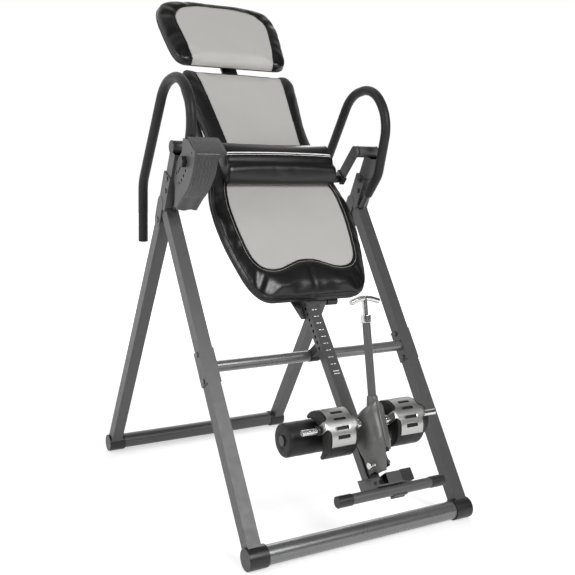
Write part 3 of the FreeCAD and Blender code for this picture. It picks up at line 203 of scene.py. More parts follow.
def vinyl(name, colour, roughness, gloss=0.25):
    """Leathercloth: fine pebble grain with larger soft creases."""
    surface = Surface(name, colour, roughness)
    surface.mottle(surface.noise(12), 0.985, 1.015)
    surface.uneven_gloss(surface.noise(35), roughness - 0.03, roughness + 0.04)
    surface.bump(surface.pebbles(900), 0.1, 0.0004)
    surface.bump(surface.noise(90, 4), 0.06, 0.0012)
    surface.set("Coat Weight", gloss).set("Coat Roughness", 0.25).set("Specular IOR Level", 0.34)
    return surface.material


def foam(name, colour):
    """Closed-cell foam: fine cells and a soft sheen."""
    surface = Surface(name, colour, 0.5)
    surface.mottle(surface.noise(600, 2), 0.75, 1.35)
    surface.uneven_gloss(surface.noise(80), 0.4, 0.58)
    surface.bump(surface.pebbles(1400), 0.2, 0.0004)
    surface.set("Sheen Weight", 0.05).set("Sheen Roughness", 0.5).set("Specular IOR Level", 0.25)
    return surface.material


def moulded(name, colour, roughness=0.45, grain=700):
    surface = Surface(name, colour, roughness)
    # convex edges get a painted highlight, 1.3 times lighter
    surface.mottle(surface.noise(30), 0.92, 1.1).painted_edge_highlight(1.3)
    surface.uneven_gloss(surface.noise(50), roughness - 0.05, roughness + 0.08)
    surface.bump(surface.noise(grain, 2), 0.15, 0.0003)
    return surface.material


def bright_metal(name, colour, roughness, stretch=(1, 1, 1), scale=300, depth=0.02):
    surface = Surface(name, colour, roughness, 1.0)
    surface.mottle(surface.noise(scale, 3, stretch), 0.96, 1.04)
    surface.uneven_gloss(surface.noise(scale / 2, 3, stretch), roughness * 0.9, roughness * 1.15)
    surface.bump(surface.noise(scale, 2, stretch), depth, 0.00005)
    return surface.material


def webbing(name, colour):
    """Ribbed woven strap: ribs along its length, with a fine cross weave."""
    surface = Surface(name, colour, 0.85)
    surface.mottle(surface.noise(500, 3, (1, 0.15, 0.15)), 0.6, 1.5)
    surface.bump(surface.waves(110, "X", 0.6), 0.55, 0.0009)
    surface.bump(surface.waves(260, "Z", 0.4), 0.25, 0.0005)
    surface.set("Sheen Weight", 0.3).set("Sheen Roughness", 0.5)
    return surface.material


def plywood(name, colour):
    surface = Surface(name, colour, 0.6)
    surface.mottle(surface.noise(40, 5, (1, 1, 0.1)), 0.7, 1.4)
    surface.bump(surface.noise(180, 4, (1, 1, 0.08)), 0.3, 0.0004)
    return surface.material


LOOKS = {
    "frame_grey": powder_coat("frame_grey", (0.067, 0.067, 0.067)),
    # no painted edge highlight on the silver front tube, and steadier gloss and bump
    "front_tube_silver": powder_coat("front_tube_silver", (0.18, 0.181, 0.181), 0.28, 0.6, edge_highlight_and_texture=False),
    "black_metal": smooth_paint("black_metal", (0.01, 0.01, 0.0105)),
    "zinc": smooth_paint("black_zinc", (0.018, 0.018, 0.019), 0.25),
    "chrome": bright_metal("chrome", (0.6, 0.6, 0.59), 0.2),
    "cup_steel": bright_metal("cup_steel", (0.42, 0.42, 0.41), 0.34, (0.05, 1, 1), 900, 0.03),
    "black_plastic": moulded("black_plastic", (0.008, 0.008, 0.0085), 0.38),
    "olive_plastic": moulded("olive_plastic", (0.082, 0.082, 0.077), 0.36),
    "foam_black": foam("foam_black", (0.008, 0.0083, 0.008)),
    "rubber_black": moulded("rubber_black", (0.009, 0.009, 0.009), 0.6, 400),
    "vinyl_black": vinyl("vinyl_black", (0.004, 0.0038, 0.0038), 0.33, 0.14),
    "guard_fabric": webbing("guard_fabric", (0.026, 0.026, 0.027)),
    "board_black": plywood("board_black", (0.014, 0.013, 0.012)),
}
PANEL_GREY = vinyl("vinyl_grey", (0.366, 0.355, 0.341), 0.55, 0.03)
THREAD = moulded("thread_grey", (0.3, 0.29, 0.27), 0.7)
WHITE_PRINT = moulded("white_print", (0.78, 0.78, 0.77), 0.5)


# ---------------------------------------------------------------- mesh helpers
def new_object(name, mesh, *materials):
    piece = bpy.data.objects.new(name, mesh)
    bpy.context.scene.collection.objects.link(piece)
    mesh.materials.clear()
    for material in materials:
        mesh.materials.append(material)
    return piece


def mesh_of(vertices, faces, name):
    mesh = bpy.data.meshes.new(name)
    mesh.from_pydata([tuple(v) for v in vertices], [], faces)
    mesh.update()
    return mesh


def baked(piece, *modifiers):
    """Add modifiers given as (type, settings) and turn the result into plain mesh."""
    for kind, settings in modifiers:
        modifier = piece.modifiers.new(kind.lower(), kind)
        for key, value in settings.items():
            setattr(modifier, key, value)
    graph = bpy.context.evaluated_depsgraph_get()
    result = bpy.data.meshes.new_from_object(piece.evaluated_get(graph))
    piece.modifiers.clear()
    old = piece.data
    piece.data = result
    bpy.data.meshes.remove(old)
    return piece


def soften(piece, angle=38):
    """Smooth shading with sharp edges kept."""
    piece.data.shade_smooth()
    piece.data.set_sharp_from_angle(angle=math.radians(angle))
    return piece


def placed(piece, body, *nodes, slot=None, turn=None):
    """Move a piece into the row frame, hang it on the body it rides on, and hide the nodes it stands for."""
    if turn is not None:
        piece.data.transform(turn)
    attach(piece, body)
    for name in nodes:
        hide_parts(name)
    return piece


def clean_copy(node, name):
    """A node's mesh with its flat faces whole again, ready for bevels."""
    mesh = frame["nodes"][node].data.copy()
    shape = bmesh.new()
    shape.from_mesh(mesh)
    bmesh.ops.remove_doubles(shape, verts=shape.verts, dist=1e-6)
    bmesh.ops.dissolve_limit(shape, angle_limit=math.radians(0.05), verts=shape.verts, edges=shape.edges)
    shape.to_mesh(mesh)
    shape.free()
    return new_object(name, mesh, LOOKS[SLOT_OF[node]])


def rounded(node, width=0.8, segments=2):
    """The node again with its edges eased, as cast, bent or moulded parts have them."""
    piece = clean_copy(node, node + "_eased")
    baked(piece, ("BEVEL", {"width": width * MM, "segments": segments, "limit_method": "ANGLE",
                            "angle_limit": math.radians(50), "use_clamp_overlap": True}))
    soften(piece)
    baked(piece, ("WEIGHTED_NORMAL", {"keep_sharp": True}))
    return placed(piece, BODY_OF[node], node, slot=SLOT_OF[node])


def grid(name, columns, rows, point, closed_columns=False):
    """A sheet of faces through point(i, j) for i in columns and j in rows."""
    vertices = [point(i, j) for j in range(rows) for i in range(columns)]
    faces = []
    for j in range(rows - 1):
        for i in range(columns if closed_columns else columns - 1):
            k = (i + 1) % columns
            faces.append((j * columns + i, j * columns + k, (j + 1) * columns + k, (j + 1) * columns + i))
    return mesh_of(vertices, faces, name)


def lathe(name, profile, turn, centre, *materials, around=48):
    """Turn a profile of (along, radius) about X through centre, in millimetres."""
    def point(i, j):
        along, radius = profile[j]
        angle = 2 * math.pi * i / around
        return (Vector(centre) + Vector((along, radius * math.cos(angle), radius * math.sin(angle)))) * MM
    mesh = grid(name, around, len(profile), point, closed_columns=True)
    mesh.transform(turn)
    return soften(new_object(name, mesh, *materials), 50)


def smooth_line(points, steps=8, closed=False):
    """Catmull-Rom curve through the points."""
    count = len(points)
    result = []
    spans = count if closed else count - 1

    def pick(i):
        return points[i % count] if closed else points[min(max(i, 0), count - 1)]
    for i in range(spans):
        a, b, c, d = [Vector(pick(i + k)) for k in (-1, 0, 1, 2)]
        for step in range(steps):
            t = step / steps
            result.append(0.5 * (2 * b + (c - a) * t + (2 * a - 5 * b + 4 * c - d) * t * t
                                 + (3 * b - a - 3 * c + d) * t * t * t))
    if not closed:
        result.append(Vector(points[-1]))
    return result


def from_curve(name, curve, material):
    """The plain mesh of a curve."""
    holder = bpy.data.objects.new(name + "_curve", curve)
    bpy.context.scene.collection.objects.link(holder)
    graph = bpy.context.evaluated_depsgraph_get()
    mesh = bpy.data.meshes.new_from_object(holder.evaluated_get(graph))
    bpy.data.objects.remove(holder)
    return new_object(name, mesh, material)


def cord_tube(name, points, radius, material, body, closed=False, slot="vinyl_black"):
    """A thin round tube through points that are already in the row frame."""
    curve = bpy.data.curves.new(name, "CURVE")
    curve.dimensions = "3D"
    curve.bevel_depth = radius * MM
    curve.bevel_resolution = 2
    curve.use_fill_caps = True
    spline = curve.splines.new("POLY")
    spline.points.add(len(points) - 1)
    for slot_point, place in zip(spline.points, points):
        slot_point.co = (*place, 1)
    spline.use_cyclic_u = closed
    piece = soften(from_curve(name, curve, material), 60)
    return placed(piece, body, slot=slot)


# ---------------------------------------------------------------- sewn cushions
def inside(outline, x, z):
    hit = False
    previous = outline[-1]
    for corner in outline:
        if (corner[1] > z) != (previous[1] > z):
            edge = previous[0] + (z - previous[1]) / (corner[1] - previous[1]) * (corner[0] - previous[0])
            if x < edge:
                hit = not hit
        previous = corner
    return hit


def mirrored(half):
    return half + [Vector((-p[0], p[1], 0)) for p in reversed(half)]


def blow_up(piece, held_back, pressure, cap):
    """Inflate a closed cushion with its back held, and limit how far any point moves."""
    start = [vertex.co.copy() for vertex in piece.data.vertices]
    group = piece.vertex_groups.new(name="held")
    deepest = max(point.y for point in start)
    group.add([i for i, point in enumerate(start) if point.y > deepest - held_back], 1.0, "REPLACE")
    cloth = piece.modifiers.new("cloth", "CLOTH")
    cloth.settings.use_pressure = True
    cloth.settings.uniform_pressure_force = pressure
    cloth.settings.effector_weights.gravity = 0
    cloth.settings.vertex_group_mass = "held"
    cloth.settings.tension_stiffness = 25
    cloth.settings.compression_stiffness = 25
    cloth.settings.shear_stiffness = 12
    cloth.settings.bending_stiffness = 15
    cloth.settings.quality = 4
    cloth.point_cache.frame_start = 1
    cloth.point_cache.frame_end = 20
    for step in range(1, 21):
        bpy.context.scene.frame_set(step)
    baked(piece)
    for vertex, before in zip(piece.data.vertices, start):
        move = vertex.co - before
        if move.length > cap * MM:
            vertex.co = before + move.normalized() * cap * MM
    bpy.context.scene.frame_set(1)
    return piece


def soft_copy(node, name, edge, voxel, shrink, pressure, cap, held_back=0.006):
    """A stuffed version of a cushion's node, in table coordinates."""
    piece = clean_copy(node, name)
    piece.data.transform(TABLE.inverted())
    corners = [Vector(v.co) for v in piece.data.vertices]
    centre = sum(corners, Vector()) / len(corners)
    back = max(point.y for point in corners)
    front = min(point.y for point in corners)
    for vertex in piece.data.vertices:
        offset = vertex.co - centre
        vertex.co.x = centre.x + offset.x * (1 - shrink / abs(max(c.x for c in corners)) * MM)
        vertex.co.z = centre.z + offset.z * (1 - shrink * MM / abs(max(c.z - centre.z for c in corners)))
        if vertex.co.y < (front + back) / 2:
            vertex.co.y += shrink * MM
    baked(piece, ("BEVEL", {"width": edge * MM, "segments": 5, "limit_method": "ANGLE",
                            "angle_limit": math.radians(45)}),
          ("REMESH", {"mode": "VOXEL", "voxel_size": voxel * MM}),
          ("SMOOTH", {"factor": 0.5, "iterations": 4}))
    blow_up(piece, held_back, pressure, cap)
    baked(piece, ("SMOOTH", {"factor": 0.5, "iterations": 14}))
    return piece


class Skin:
    """The front of a cushion, for laying seams and panels on it."""

    def __init__(self, piece):
        self.tree = BVHTree.FromObject(piece, bpy.context.evaluated_depsgraph_get())

    def front(self, x, z, lift=0.0):
        hit, normal, _, _ = self.tree.ray_cast(Vector((x * MM, -0.5, z * MM)), Vector((0, 1, 0)))
        if hit is None:
            near, normal, _, _ = self.tree.find_nearest(Vector((x * MM, 0.06, z * MM)))
            return near + normal * lift * MM
        return hit + normal * lift * MM

    def rim(self, depth, angle, centre_z, lift=0.0):
        away = Vector((math.cos(angle), 0, math.sin(angle)))
        start = Vector((0, depth * MM, centre_z * MM)) + away
        hit, normal, _, _ = self.tree.ray_cast(start, -away)
        return hit + normal * lift * MM

    def around(self, x, depth, along, angle, lift=0.0):
        """A point of the section at x, looking out from its middle."""
        away = Vector((0, math.cos(angle), math.sin(angle)))
        start = Vector((x, depth, along)) * MM + away
        hit, normal, _, _ = self.tree.ray_cast(start, -away)
        return hit + normal * lift * MM


def crease(piece, lines, depth, width):
    """Press a sewn line into the cushion."""
    points = [point for line in lines for point in line]
    tree = KDTree(len(points))
    for i, point in enumerate(points):
        tree.insert(point, i)
    tree.balance()
    normals = [vertex.normal.copy() for vertex in piece.data.vertices]
    for vertex, normal in zip(piece.data.vertices, normals):
        distance = tree.find(vertex.co)[2]
        if distance < 3 * width * MM:
            vertex.co -= normal * depth * MM * math.exp(-(distance / (width * MM)) ** 2)


def sink(piece, outline, depth, rise):
    """Let the panel inside an outline lie lower than the lobes, which rise from its seam."""
    edge = KDTree(len(outline))
    for i, point in enumerate(outline):
        edge.insert((point[0], 0, point[1]), i)
    edge.balance()
    for vertex in piece.data.vertices:
        x, z = vertex.co.x / MM, vertex.co.z / MM
        if vertex.normal.y < -0.1:
            beyond = 0.0 if inside(outline, x, z) else edge.find((x, 0, z))[2] / rise
            vertex.co.y += depth * MM * max(0.0, 1 - beyond) ** 2


def two_tone(piece, outline):
    """Give the faces inside the outline the second material."""
    for face in piece.data.polygons:
        if face.normal.y < 0.25 and inside(outline, face.center.x / MM, face.center.z / MM):
            face.material_index = 1


PAD_PANEL = [(0, -350), (30, -354), (62, -366), (92, -377), (122, -379), (150, -369), (169, -346),
             (179, -310), (187, -250), (191, -190), (190, -140), (183, -96), (166, -50), (147, -8),
             (136, 30), (132, 70), (134, 120), (141, 210), (149, 300), (155, 360), (158, 410)]
HEADREST_PANEL = [(0, 672), (60, 670), (108, 661), (146, 643), (167, 612), (170, 580), (164, 530),
                  (156, 470), (149, 425), (146, 395)]


def finish_cushion(piece, body, node, subdivide=True):
    if subdivide:
        baked(piece, ("SUBSURF", {"levels": 1, "render_levels": 1}))
    piece.data.shade_smooth()
    placed(piece, body, node, slot=SLOT_OF[node], turn=TABLE)


def seam(name, skin, line, lift, radius, material, body):
    points = [TABLE @ skin.front(point[0], point[1], lift) for point in line]
    return cord_tube(name, points, radius, material, body)


def backrest():
    piece = soft_copy("backrest_pad", "backrest_cushion", 16, 6, 7, 4.0, 12)
    piece.data.materials.append(PANEL_GREY)
    skin = Skin(piece)
    top = 393
    half = smooth_line([(x, z, 0) for x, z in PAD_PANEL], 6)
    outline = mirrored(half)
    both = [half, [Vector((-p[0], p[1], 0)) for p in half]]
    on_skin = [[skin.front(p[0], p[1]) for p in line if p[1] < top] for line in both]
    centre_line = [Vector((0, z, 0)) for z in range(-352, -474, -6)]
    on_skin.append([skin.front(0, p[1]) for p in centre_line])
    crease(piece, on_skin, 1.6, 6)
    sink(piece, outline, 6.0, 30)
    baked(piece, ("SUBSURF", {"levels": 1, "render_levels": 1}))
    two_tone(piece, outline)
    skin = Skin(piece)
    loop = [p for p in reversed(both[1]) if p[1] < top] + [p for p in both[0] if p[1] < top]
    seam("backrest_panel_piping", skin, loop, 0.6, 2.0, LOOKS["vinyl_black"], "table")
    lower = [p for p in loop if p[1] < 60]
    grown = [Vector((p[0] * 1.035, p[1] - (6 if p[1] < -300 else 0), 0)) for p in lower]
    seam("backrest_panel_thread", skin, grown, 0.1, 0.55, THREAD, "table")
    seam("backrest_centre_seam", skin, centre_line, 0.1, 0.9, LOOKS["vinyl_black"], "table")
    rim_seams(skin, "backrest", (84, 101), -45, "table")
    finish_cushion(piece, "table", "backrest_pad", subdivide=False)


def rim_seams(skin, name, depths, centre_z, body):
    for count, depth in enumerate(depths):
        points = [TABLE @ skin.rim(depth, 2 * math.pi * i / 240, centre_z, 0.3) for i in range(240)]
        cord_tube("%s_edge_piping_%d" % (name, count), points, 1.7, LOOKS["vinyl_black"], body, closed=True)


def headrest():
    piece = soft_copy("headrest_pad", "headrest_cushion", 17, 5, 9, 4.0, 11)
    piece.data.materials.append(PANEL_GREY)
    skin = Skin(piece)
    half = smooth_line([(x, z, 0) for x, z in HEADREST_PANEL], 6)
    both = [half, [Vector((-p[0], p[1], 0)) for p in half]]
    crease(piece, [[skin.front(p[0], p[1]) for p in line if p[1] > 418] for line in both], 1.6, 6)
    sink(piece, mirrored(half), 4.0, 24)
    baked(piece, ("SUBSURF", {"levels": 1, "render_levels": 1}))
    two_tone(piece, mirrored(half))
    skin = Skin(piece)
    loop = [p for p in reversed(both[1]) if p[1] > 416] + [p for p in both[0] if p[1] > 416]
    seam("headrest_panel_piping", skin, loop, 0.6, 2.0, LOOKS["vinyl_black"], "headrest")
    rim_seams(skin, "headrest", (98,), 560, "headrest")
    finish_cushion(piece, "headrest", "headrest_pad", subdivide=False)


def pillow():
    """A bolster with a broad upper roll, a narrower lower roll and a piped seam at each end."""
    piece = soft_copy("lumbar_pillow", "lumbar_cushion", 9, 4, 4, 4.0, 6, held_back=0.004)
    middle = TABLE.inverted() @ (sum(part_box("lumbar_pillow"), Vector()) / 2) / MM
    valley = middle.z - 20
    skin = Skin(piece)
    crease(piece, [[skin.front(x, valley) for x in range(-186, 187, 4)]], 4.0, 13)
    baked(piece, ("SUBSURF", {"levels": 1, "render_levels": 1}))
    skin = Skin(piece)
    for name, z, width in (("wide", middle.z + 12, 3.4), ("narrow", middle.z + 5, 1.2)):
        def point(i, j):
            x = -183 + 366 * i / 60
            return TABLE @ skin.front(x, z + width * (j - 1) / 2, 0.35)
        strip = new_object("pillow_stripe_" + name, grid("stripe", 61, 3, point), WHITE_PRINT)
        baked(strip, ("SOLIDIFY", {"thickness": 0.3 * MM, "offset": 0}))
        placed(soften(strip), "pillow", slot="vinyl_black")
    for side, x in (("left", -182), ("right", 182)):
        loop = [TABLE @ skin.around(x, middle.y, middle.z, 2 * math.pi * k / 90, 0.3) for k in range(90)]
        cord_tube("pillow_%s_piping" % side, loop, 1.6, LOOKS["vinyl_black"], "pillow", closed=True)
    finish_cushion(piece, "pillow", "lumbar_pillow", subdivide=False)


# ---------------------------------------------------------------- foam and moulded pieces
def heel_rollers():
    for side in ("left", "right"):
        node = side + "_heel_roller"
        low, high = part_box(node)
        length = (high.x - low.x) / MM / 2
        centre = TABLE.inverted() @ ((low + high) / 2) / MM
        radius = 45.0
        edge = 6.0
        profile = [(-length + 1.2, 8.3), (-length + 1.2, 14), (-length + 0.2, 17), (-length, 30),
                   (-length, radius - edge)]
        profile += [(-length + edge - edge * math.cos(a), radius - edge + edge * math.sin(a))
                    for a in (0.4, 0.8, 1.2, 1.57)]
        for k in range(1, 20):
            along = -length + edge + (2 * length - 2 * edge) * k / 20
            wobble = 0.25 * math.sin(k * 1.7)
            profile.append((along, radius + wobble - 0.3))
        profile += [(-a, r) for a, r in reversed(profile[:9])]
        piece = lathe(node + "_foam", profile, TABLE, (centre.x, centre.y, centre.z),
                      LOOKS["foam_black"], around=72)
        placed(piece, side + "_roller", node, slot="foam_black")


def ankle_cup_foams():
    """Moulded foam crescents, with rounded rims, inside the steel cups."""
    outer_centre, outer_radius = 74.8, 63.6
    inner_centre, inner_radius = 101.8, 54.0
    along, offset, half_width = -876.0, 108.0, 45.0
    tip = 90.8
    inner_reach = math.acos((inner_centre - tip) / inner_radius)
    outer_reach = math.pi - math.acos((tip - outer_centre) / outer_radius)
    section = []
    for k in range(25):
        angle = outer_reach * (1 - 2 * k / 24)
        section.append((outer_centre - outer_radius * math.cos(angle),
                        along + outer_radius * math.sin(angle)))
    for k in range(21):
        angle = -inner_reach * (1 - 2 * k / 20)
        section.append((inner_centre - inner_radius * math.cos(angle),
                        along + inner_radius * math.sin(angle)))
    for side, sign in (("left", -1), ("right", 1)):
        node = side + "_ankle_cup_foam"
        shape = bmesh.new()
        ends = []
        for x in (-half_width, half_width):
            ends.append([shape.verts.new(Vector((sign * offset + x, y, z)) * MM) for y, z in section])
        count = len(section)
        for i in range(count):
            k = (i + 1) % count
            shape.faces.new((ends[0][i], ends[0][k], ends[1][k], ends[1][i]))
        shape.faces.new(list(reversed(ends[0])))
        shape.faces.new(ends[1])
        bmesh.ops.recalc_face_normals(shape, faces=shape.faces)
        mesh = bpy.data.meshes.new(node)
        shape.to_mesh(mesh)
        shape.free()
        piece = new_object(node + "_lining", mesh, LOOKS["foam_black"])
        baked(piece, ("BEVEL", {"width": 3.5 * MM, "segments": 4, "limit_method": "ANGLE",
                                "angle_limit": math.radians(40)}))
        soften(piece, 50)
        placed(piece, side + "_cup", node, slot="foam_black", turn=TABLE)


CUP_RADIUS, CUP_METAL, CUP_CENTRE, CUP_ALONG, CUP_OFFSET = 66.5, 2.5, 74.8, -876.0, 108.0
CUP_SLOTS = (34, 14, -12, -33)
CUP_SLOT_HALF, CUP_SLOT_REACH = 4.2, 18.0
EAR_FRONT, ROD_DEPTH, EYE_RADIUS, EAR_REACH = 10.2, 38.8, 12, 48.5


def cup_half_width(z):
    """The band is widest at the rod and narrows above and below it."""
    return 36 + 13.8 * math.exp(-(z / 15) ** 4)


def cup_in_slot(z):
    return any(abs(z - along) < CUP_SLOT_HALF for along in CUP_SLOTS)


def ankle_cup_shells():
    """Slotted steel bands round the front of the cups, with an ear at each side on the rod."""
    edges = sorted({along + side * CUP_SLOT_HALF for along in CUP_SLOTS for side in (-1, 1)} | {-52.4, 52.4})
    rows = []
    for low, high in zip(edges, edges[1:]):
        steps = max(2, round((high - low) / 2.2))
        rows += [low + (high - low) * k / steps for k in range(steps)]
    rows.append(edges[-1])
    columns = [-1, -0.66, -0.33, 0, 0.33, 0.66, 1]
    for side, sign in (("left", -1), ("right", 1)):
        vertices, faces = [], []
        stations = [(-1, u) for u in (1, 0.75, 0.5, 0.25)] + [(0, u) for u in columns]
        stations += [(1, u) for u in (0.25, 0.5, 0.75, 1)]
        for z in rows:
            half = cup_half_width(z)
            y = CUP_CENTRE - math.sqrt(CUP_RADIUS ** 2 - z * z)
            for part, u in stations:
                x = CUP_SLOT_REACH * u if part == 0 else part * (CUP_SLOT_REACH + (half - CUP_SLOT_REACH) * u)
                vertices.append(Vector((sign * CUP_OFFSET + x, y, CUP_ALONG + z)) * MM)
        wide = len(stations)
        for j in range(len(rows) - 1):
            middle = (rows[j] + rows[j + 1]) / 2
            for i in range(wide - 1):
                central = stations[i][0] == 0 and stations[i + 1][0] == 0
                if not (central and cup_in_slot(middle)):
                    a = j * wide + i
                    faces.append((a, a + 1, a + 1 + wide, a + wide))
        node = side + "_ankle_cup_shell"
        band = new_object(node + "_band", mesh_of(vertices, faces, node), LOOKS["cup_steel"])
        baked(band, ("SOLIDIFY", {"thickness": CUP_METAL * MM, "offset": -1}),
              ("BEVEL", {"width": 0.5 * MM, "segments": 2, "limit_method": "ANGLE",
                         "angle_limit": math.radians(50)}))
        placed(soften(band, 40), side + "_cup", node, slot="cup_steel", turn=TABLE)
        for end, reach in (("inner", -EAR_REACH), ("outer", EAR_REACH)):
            outline = [(EAR_FRONT, -EYE_RADIUS), (ROD_DEPTH, -EYE_RADIUS)]
            outline += [(ROD_DEPTH + EYE_RADIUS * math.sin(a), -EYE_RADIUS * math.cos(a))
                        for a in (0.5, 1.0, 1.57, 2.14, 2.64)]
            outline += [(ROD_DEPTH, EYE_RADIUS), (EAR_FRONT, EYE_RADIUS)]
            corners = [Vector((sign * CUP_OFFSET + sign * reach, y, CUP_ALONG + z)) * MM for y, z in outline]
            name = "%s_ear_%s" % (node, end)
            ear = new_object(name, mesh_of(corners, [tuple(range(len(corners)))], name), LOOKS["cup_steel"])
            baked(ear, ("SOLIDIFY", {"thickness": CUP_METAL * MM, "offset": 0}),
                  ("BEVEL", {"width": 0.5 * MM, "segments": 2}))
            placed(soften(ear, 40), side + "_cup", slot="cup_steel", turn=TABLE)


SHELL_ROWS = [  # (along, half width, front depth, back depth)
    (-840, 16, -16, 24), (-847, 29, -15, 36), (-857, 36, -12, 52), (-868, 38.5, -8, 66), (-885, 39, -4, 77),
    (-905, 38.8, 0, 82), (-925, 38, 5, 84), (-945, 35.5, 11, 84), (-960, 33, 18, 82), (-975, 29.5, 25, 80),
    (-990, 25.5, 33, 76), (-1000, 21, 40, 70), (-1007, 15, 47, 63)]


def lever_shells():
    """Two moulded halves that meet on the centre line and are open at the back."""
    rows = smooth_line([Vector((a, b, c)) for a, b, c, d in SHELL_ROWS], 4)
    backs = smooth_line([Vector((a, d, 0)) for a, b, c, d in SHELL_ROWS], 4)
    for side, sign in (("left", -1), ("right", 1)):
        last = len(rows) if sign < 0 else next(i for i, row in enumerate(rows) if row.x < -958)
        columns = 17

        def point(i, j):
            along, width, front = rows[j]
            depth = backs[j].y
            t = i / (columns - 1)
            angle = t * math.pi / 2
            x = (width - 0.15) * math.sin(angle) ** 0.82 + 0.15
            y = front + (depth - front) * (1 - math.cos(angle) ** 0.75)
            ridge = 1.6 * math.exp(-((along + 925 + 30 * t) / 7) ** 2) * math.sin(math.pi * min(1, 1.3 * t))
            bite = 0.0
            if sign > 0 and j == last - 1:
                bite = 3.5 * math.sin(i * 1.9)
            return Vector((sign * (x + 0.5 * ridge), y - ridge, along + bite)) * MM
        node = side + "_lever_shell"
        piece = new_object(node + "_moulding", grid(node, columns, last, point), LOOKS["olive_plastic"])
        if sign < 0:
            piece.data.flip_normals()
        baked(piece, ("SOLIDIFY", {"thickness": 2.6 * MM, "offset": 1.0}),
              ("SUBSURF", {"levels": 1, "render_levels": 1}))
        soften(piece, 60)
        placed(piece, "ankle_lever", node, slot="olive_plastic", turn=TABLE)
    profile = [(-18, 16.5), (-10, 16.8), (0, 15.8), (10, 14.6), (15, 14.2), (16.5, 13.4),
               (17, 12.6), (17, 11.4)]
    around = 40

    def neck(i, j):
        along, radius = profile[j]
        angle = 2 * math.pi * i / around
        return LEVER @ (Vector((radius * math.cos(angle), radius * math.sin(angle), along)) * MM)
    collar = new_object("lever_neck", grid("neck", around, len(profile), neck, True), LOOKS["olive_plastic"])
    baked(collar, ("SOLIDIFY", {"thickness": 2 * MM, "offset": -1}))
    placed(soften(collar, 50), "ankle_lever", slot="olive_plastic")


# ---------------------------------------------------------------- finger guard
GUARD_OUTER_X = -347.0
GUARD_RADIUS = 157.6
GUARD_WIDE, GUARD_NARROW = 93.0, 68.0
GUARD_LOOP = ((262.6, 203.3), 15)       # start and end angles of its round part, and its steps


def guard_line():
    (first, last), steps = GUARD_LOOP
    route = [(-103, 22.0), (-128, 6.0)]
    for k in range(steps):
        angle = math.radians(first + (last - first) * k / (steps - 1))
        route.append((GUARD_RADIUS * math.sin(angle), GUARD_RADIUS * math.cos(angle)))
    route.append((-14, -177.5))
    return smooth_line([Vector((y, z, 0)) for y, z in route], 5)


def guard_point(line, across, j):
    """A point of the strap: across runs from 0 at the plate to 1 at the free edge."""
    travel = j / (len(line) - 1)
    if travel < 0.22:
        width = GUARD_WIDE - (GUARD_WIDE - GUARD_NARROW) * max(0.0, travel - 0.12) / 0.1
    else:
        width = GUARD_NARROW - 8 * (travel - 0.22)
    x = GUARD_OUTER_X + width * across
    y, z = line[j][0], line[j][1]
    outward = Vector((y, z)).normalized()
    free_edge = max(0.0, x + 268)
    droop = 0.012 * free_edge * free_edge
    ripple = 1.5 * math.sin(x * 0.16) * max(0.0, travel - 0.85) / 0.15
    rib = 0.3 * math.sin(x * 1.6)
    return PIVOT + Vector((x, y + outward.x * rib, z + outward.y * rib - droop + ripple)) * MM


def finger_guard():
    """A folded woven strap round the stop plate, hemmed and stitched, with a slightly wavy end."""
    line = guard_line()
    columns = 121
    strap = grid("guard", columns, len(line), lambda i, j: guard_point(line, i / (columns - 1), j))
    piece = new_object("finger_guard_strap", strap, LOOKS["guard_fabric"])
    baked(piece, ("SOLIDIFY", {"thickness": 2.4 * MM, "offset": 0}))
    soften(piece, 60)
    placed(piece, "front_frame", "finger_guard", slot="guard_fabric")
    threads = bpy.data.curves.new("guard_stitches", "CURVE")
    threads.dimensions = "3D"
    threads.bevel_depth = 1.0 * MM
    row = round(0.14 * (len(line) - 1))
    proud = Vector((0, -1.6, 0.6)) * MM
    stitches = 24
    for k in range(stitches):
        start = 0.04 + 0.78 * k / stitches
        spline = threads.splines.new("POLY")
        spline.points.add(1)
        for target, across in zip(spline.points, (start, start + 0.019)):
            target.co = (*(guard_point(line, across, row) + proud), 1)
    placed(from_curve("guard_stitches", threads, THREAD), "front_frame", slot="guard_fabric")


# ---------------------------------------------------------------- printed scale
def height_scale():
    """Tick marks on the front of the leg shaft: a short pair at each height, full lines at the last."""
    first, pitch, count = -494.0, 21.8, 10
    face_depth = 114.47              # inside the running gap of the sleeve that slides over it
    half_line = 0.9
    vertices = []
    faces = []
    rows = [(first - pitch * k, ((-9, -1.5), (1.5, 7))) for k in range(count - 1)]
    last = first - pitch * (count - 1)
    rows += [(last, ((-9, 9),)), (last - 8, ((-9, 9),))]
    for along, ticks in rows:
        for x0, x1 in ticks:
            base = len(vertices)
            for x, z in ((x0, -half_line), (x1, -half_line), (x1, half_line), (x0, half_line)):
                vertices.append(Vector((x, face_depth, along + z)) * MM)
            faces.append((base, base + 1, base + 2, base + 3))
    piece = new_object("height_scale", mesh_of(vertices, faces, "height_scale"), WHITE_PRINT)
    baked(piece, ("SOLIDIFY", {"thickness": 0.04 * MM, "offset": 0}))
    placed(piece, "leg_unit", slot="frame_grey", turn=TABLE)


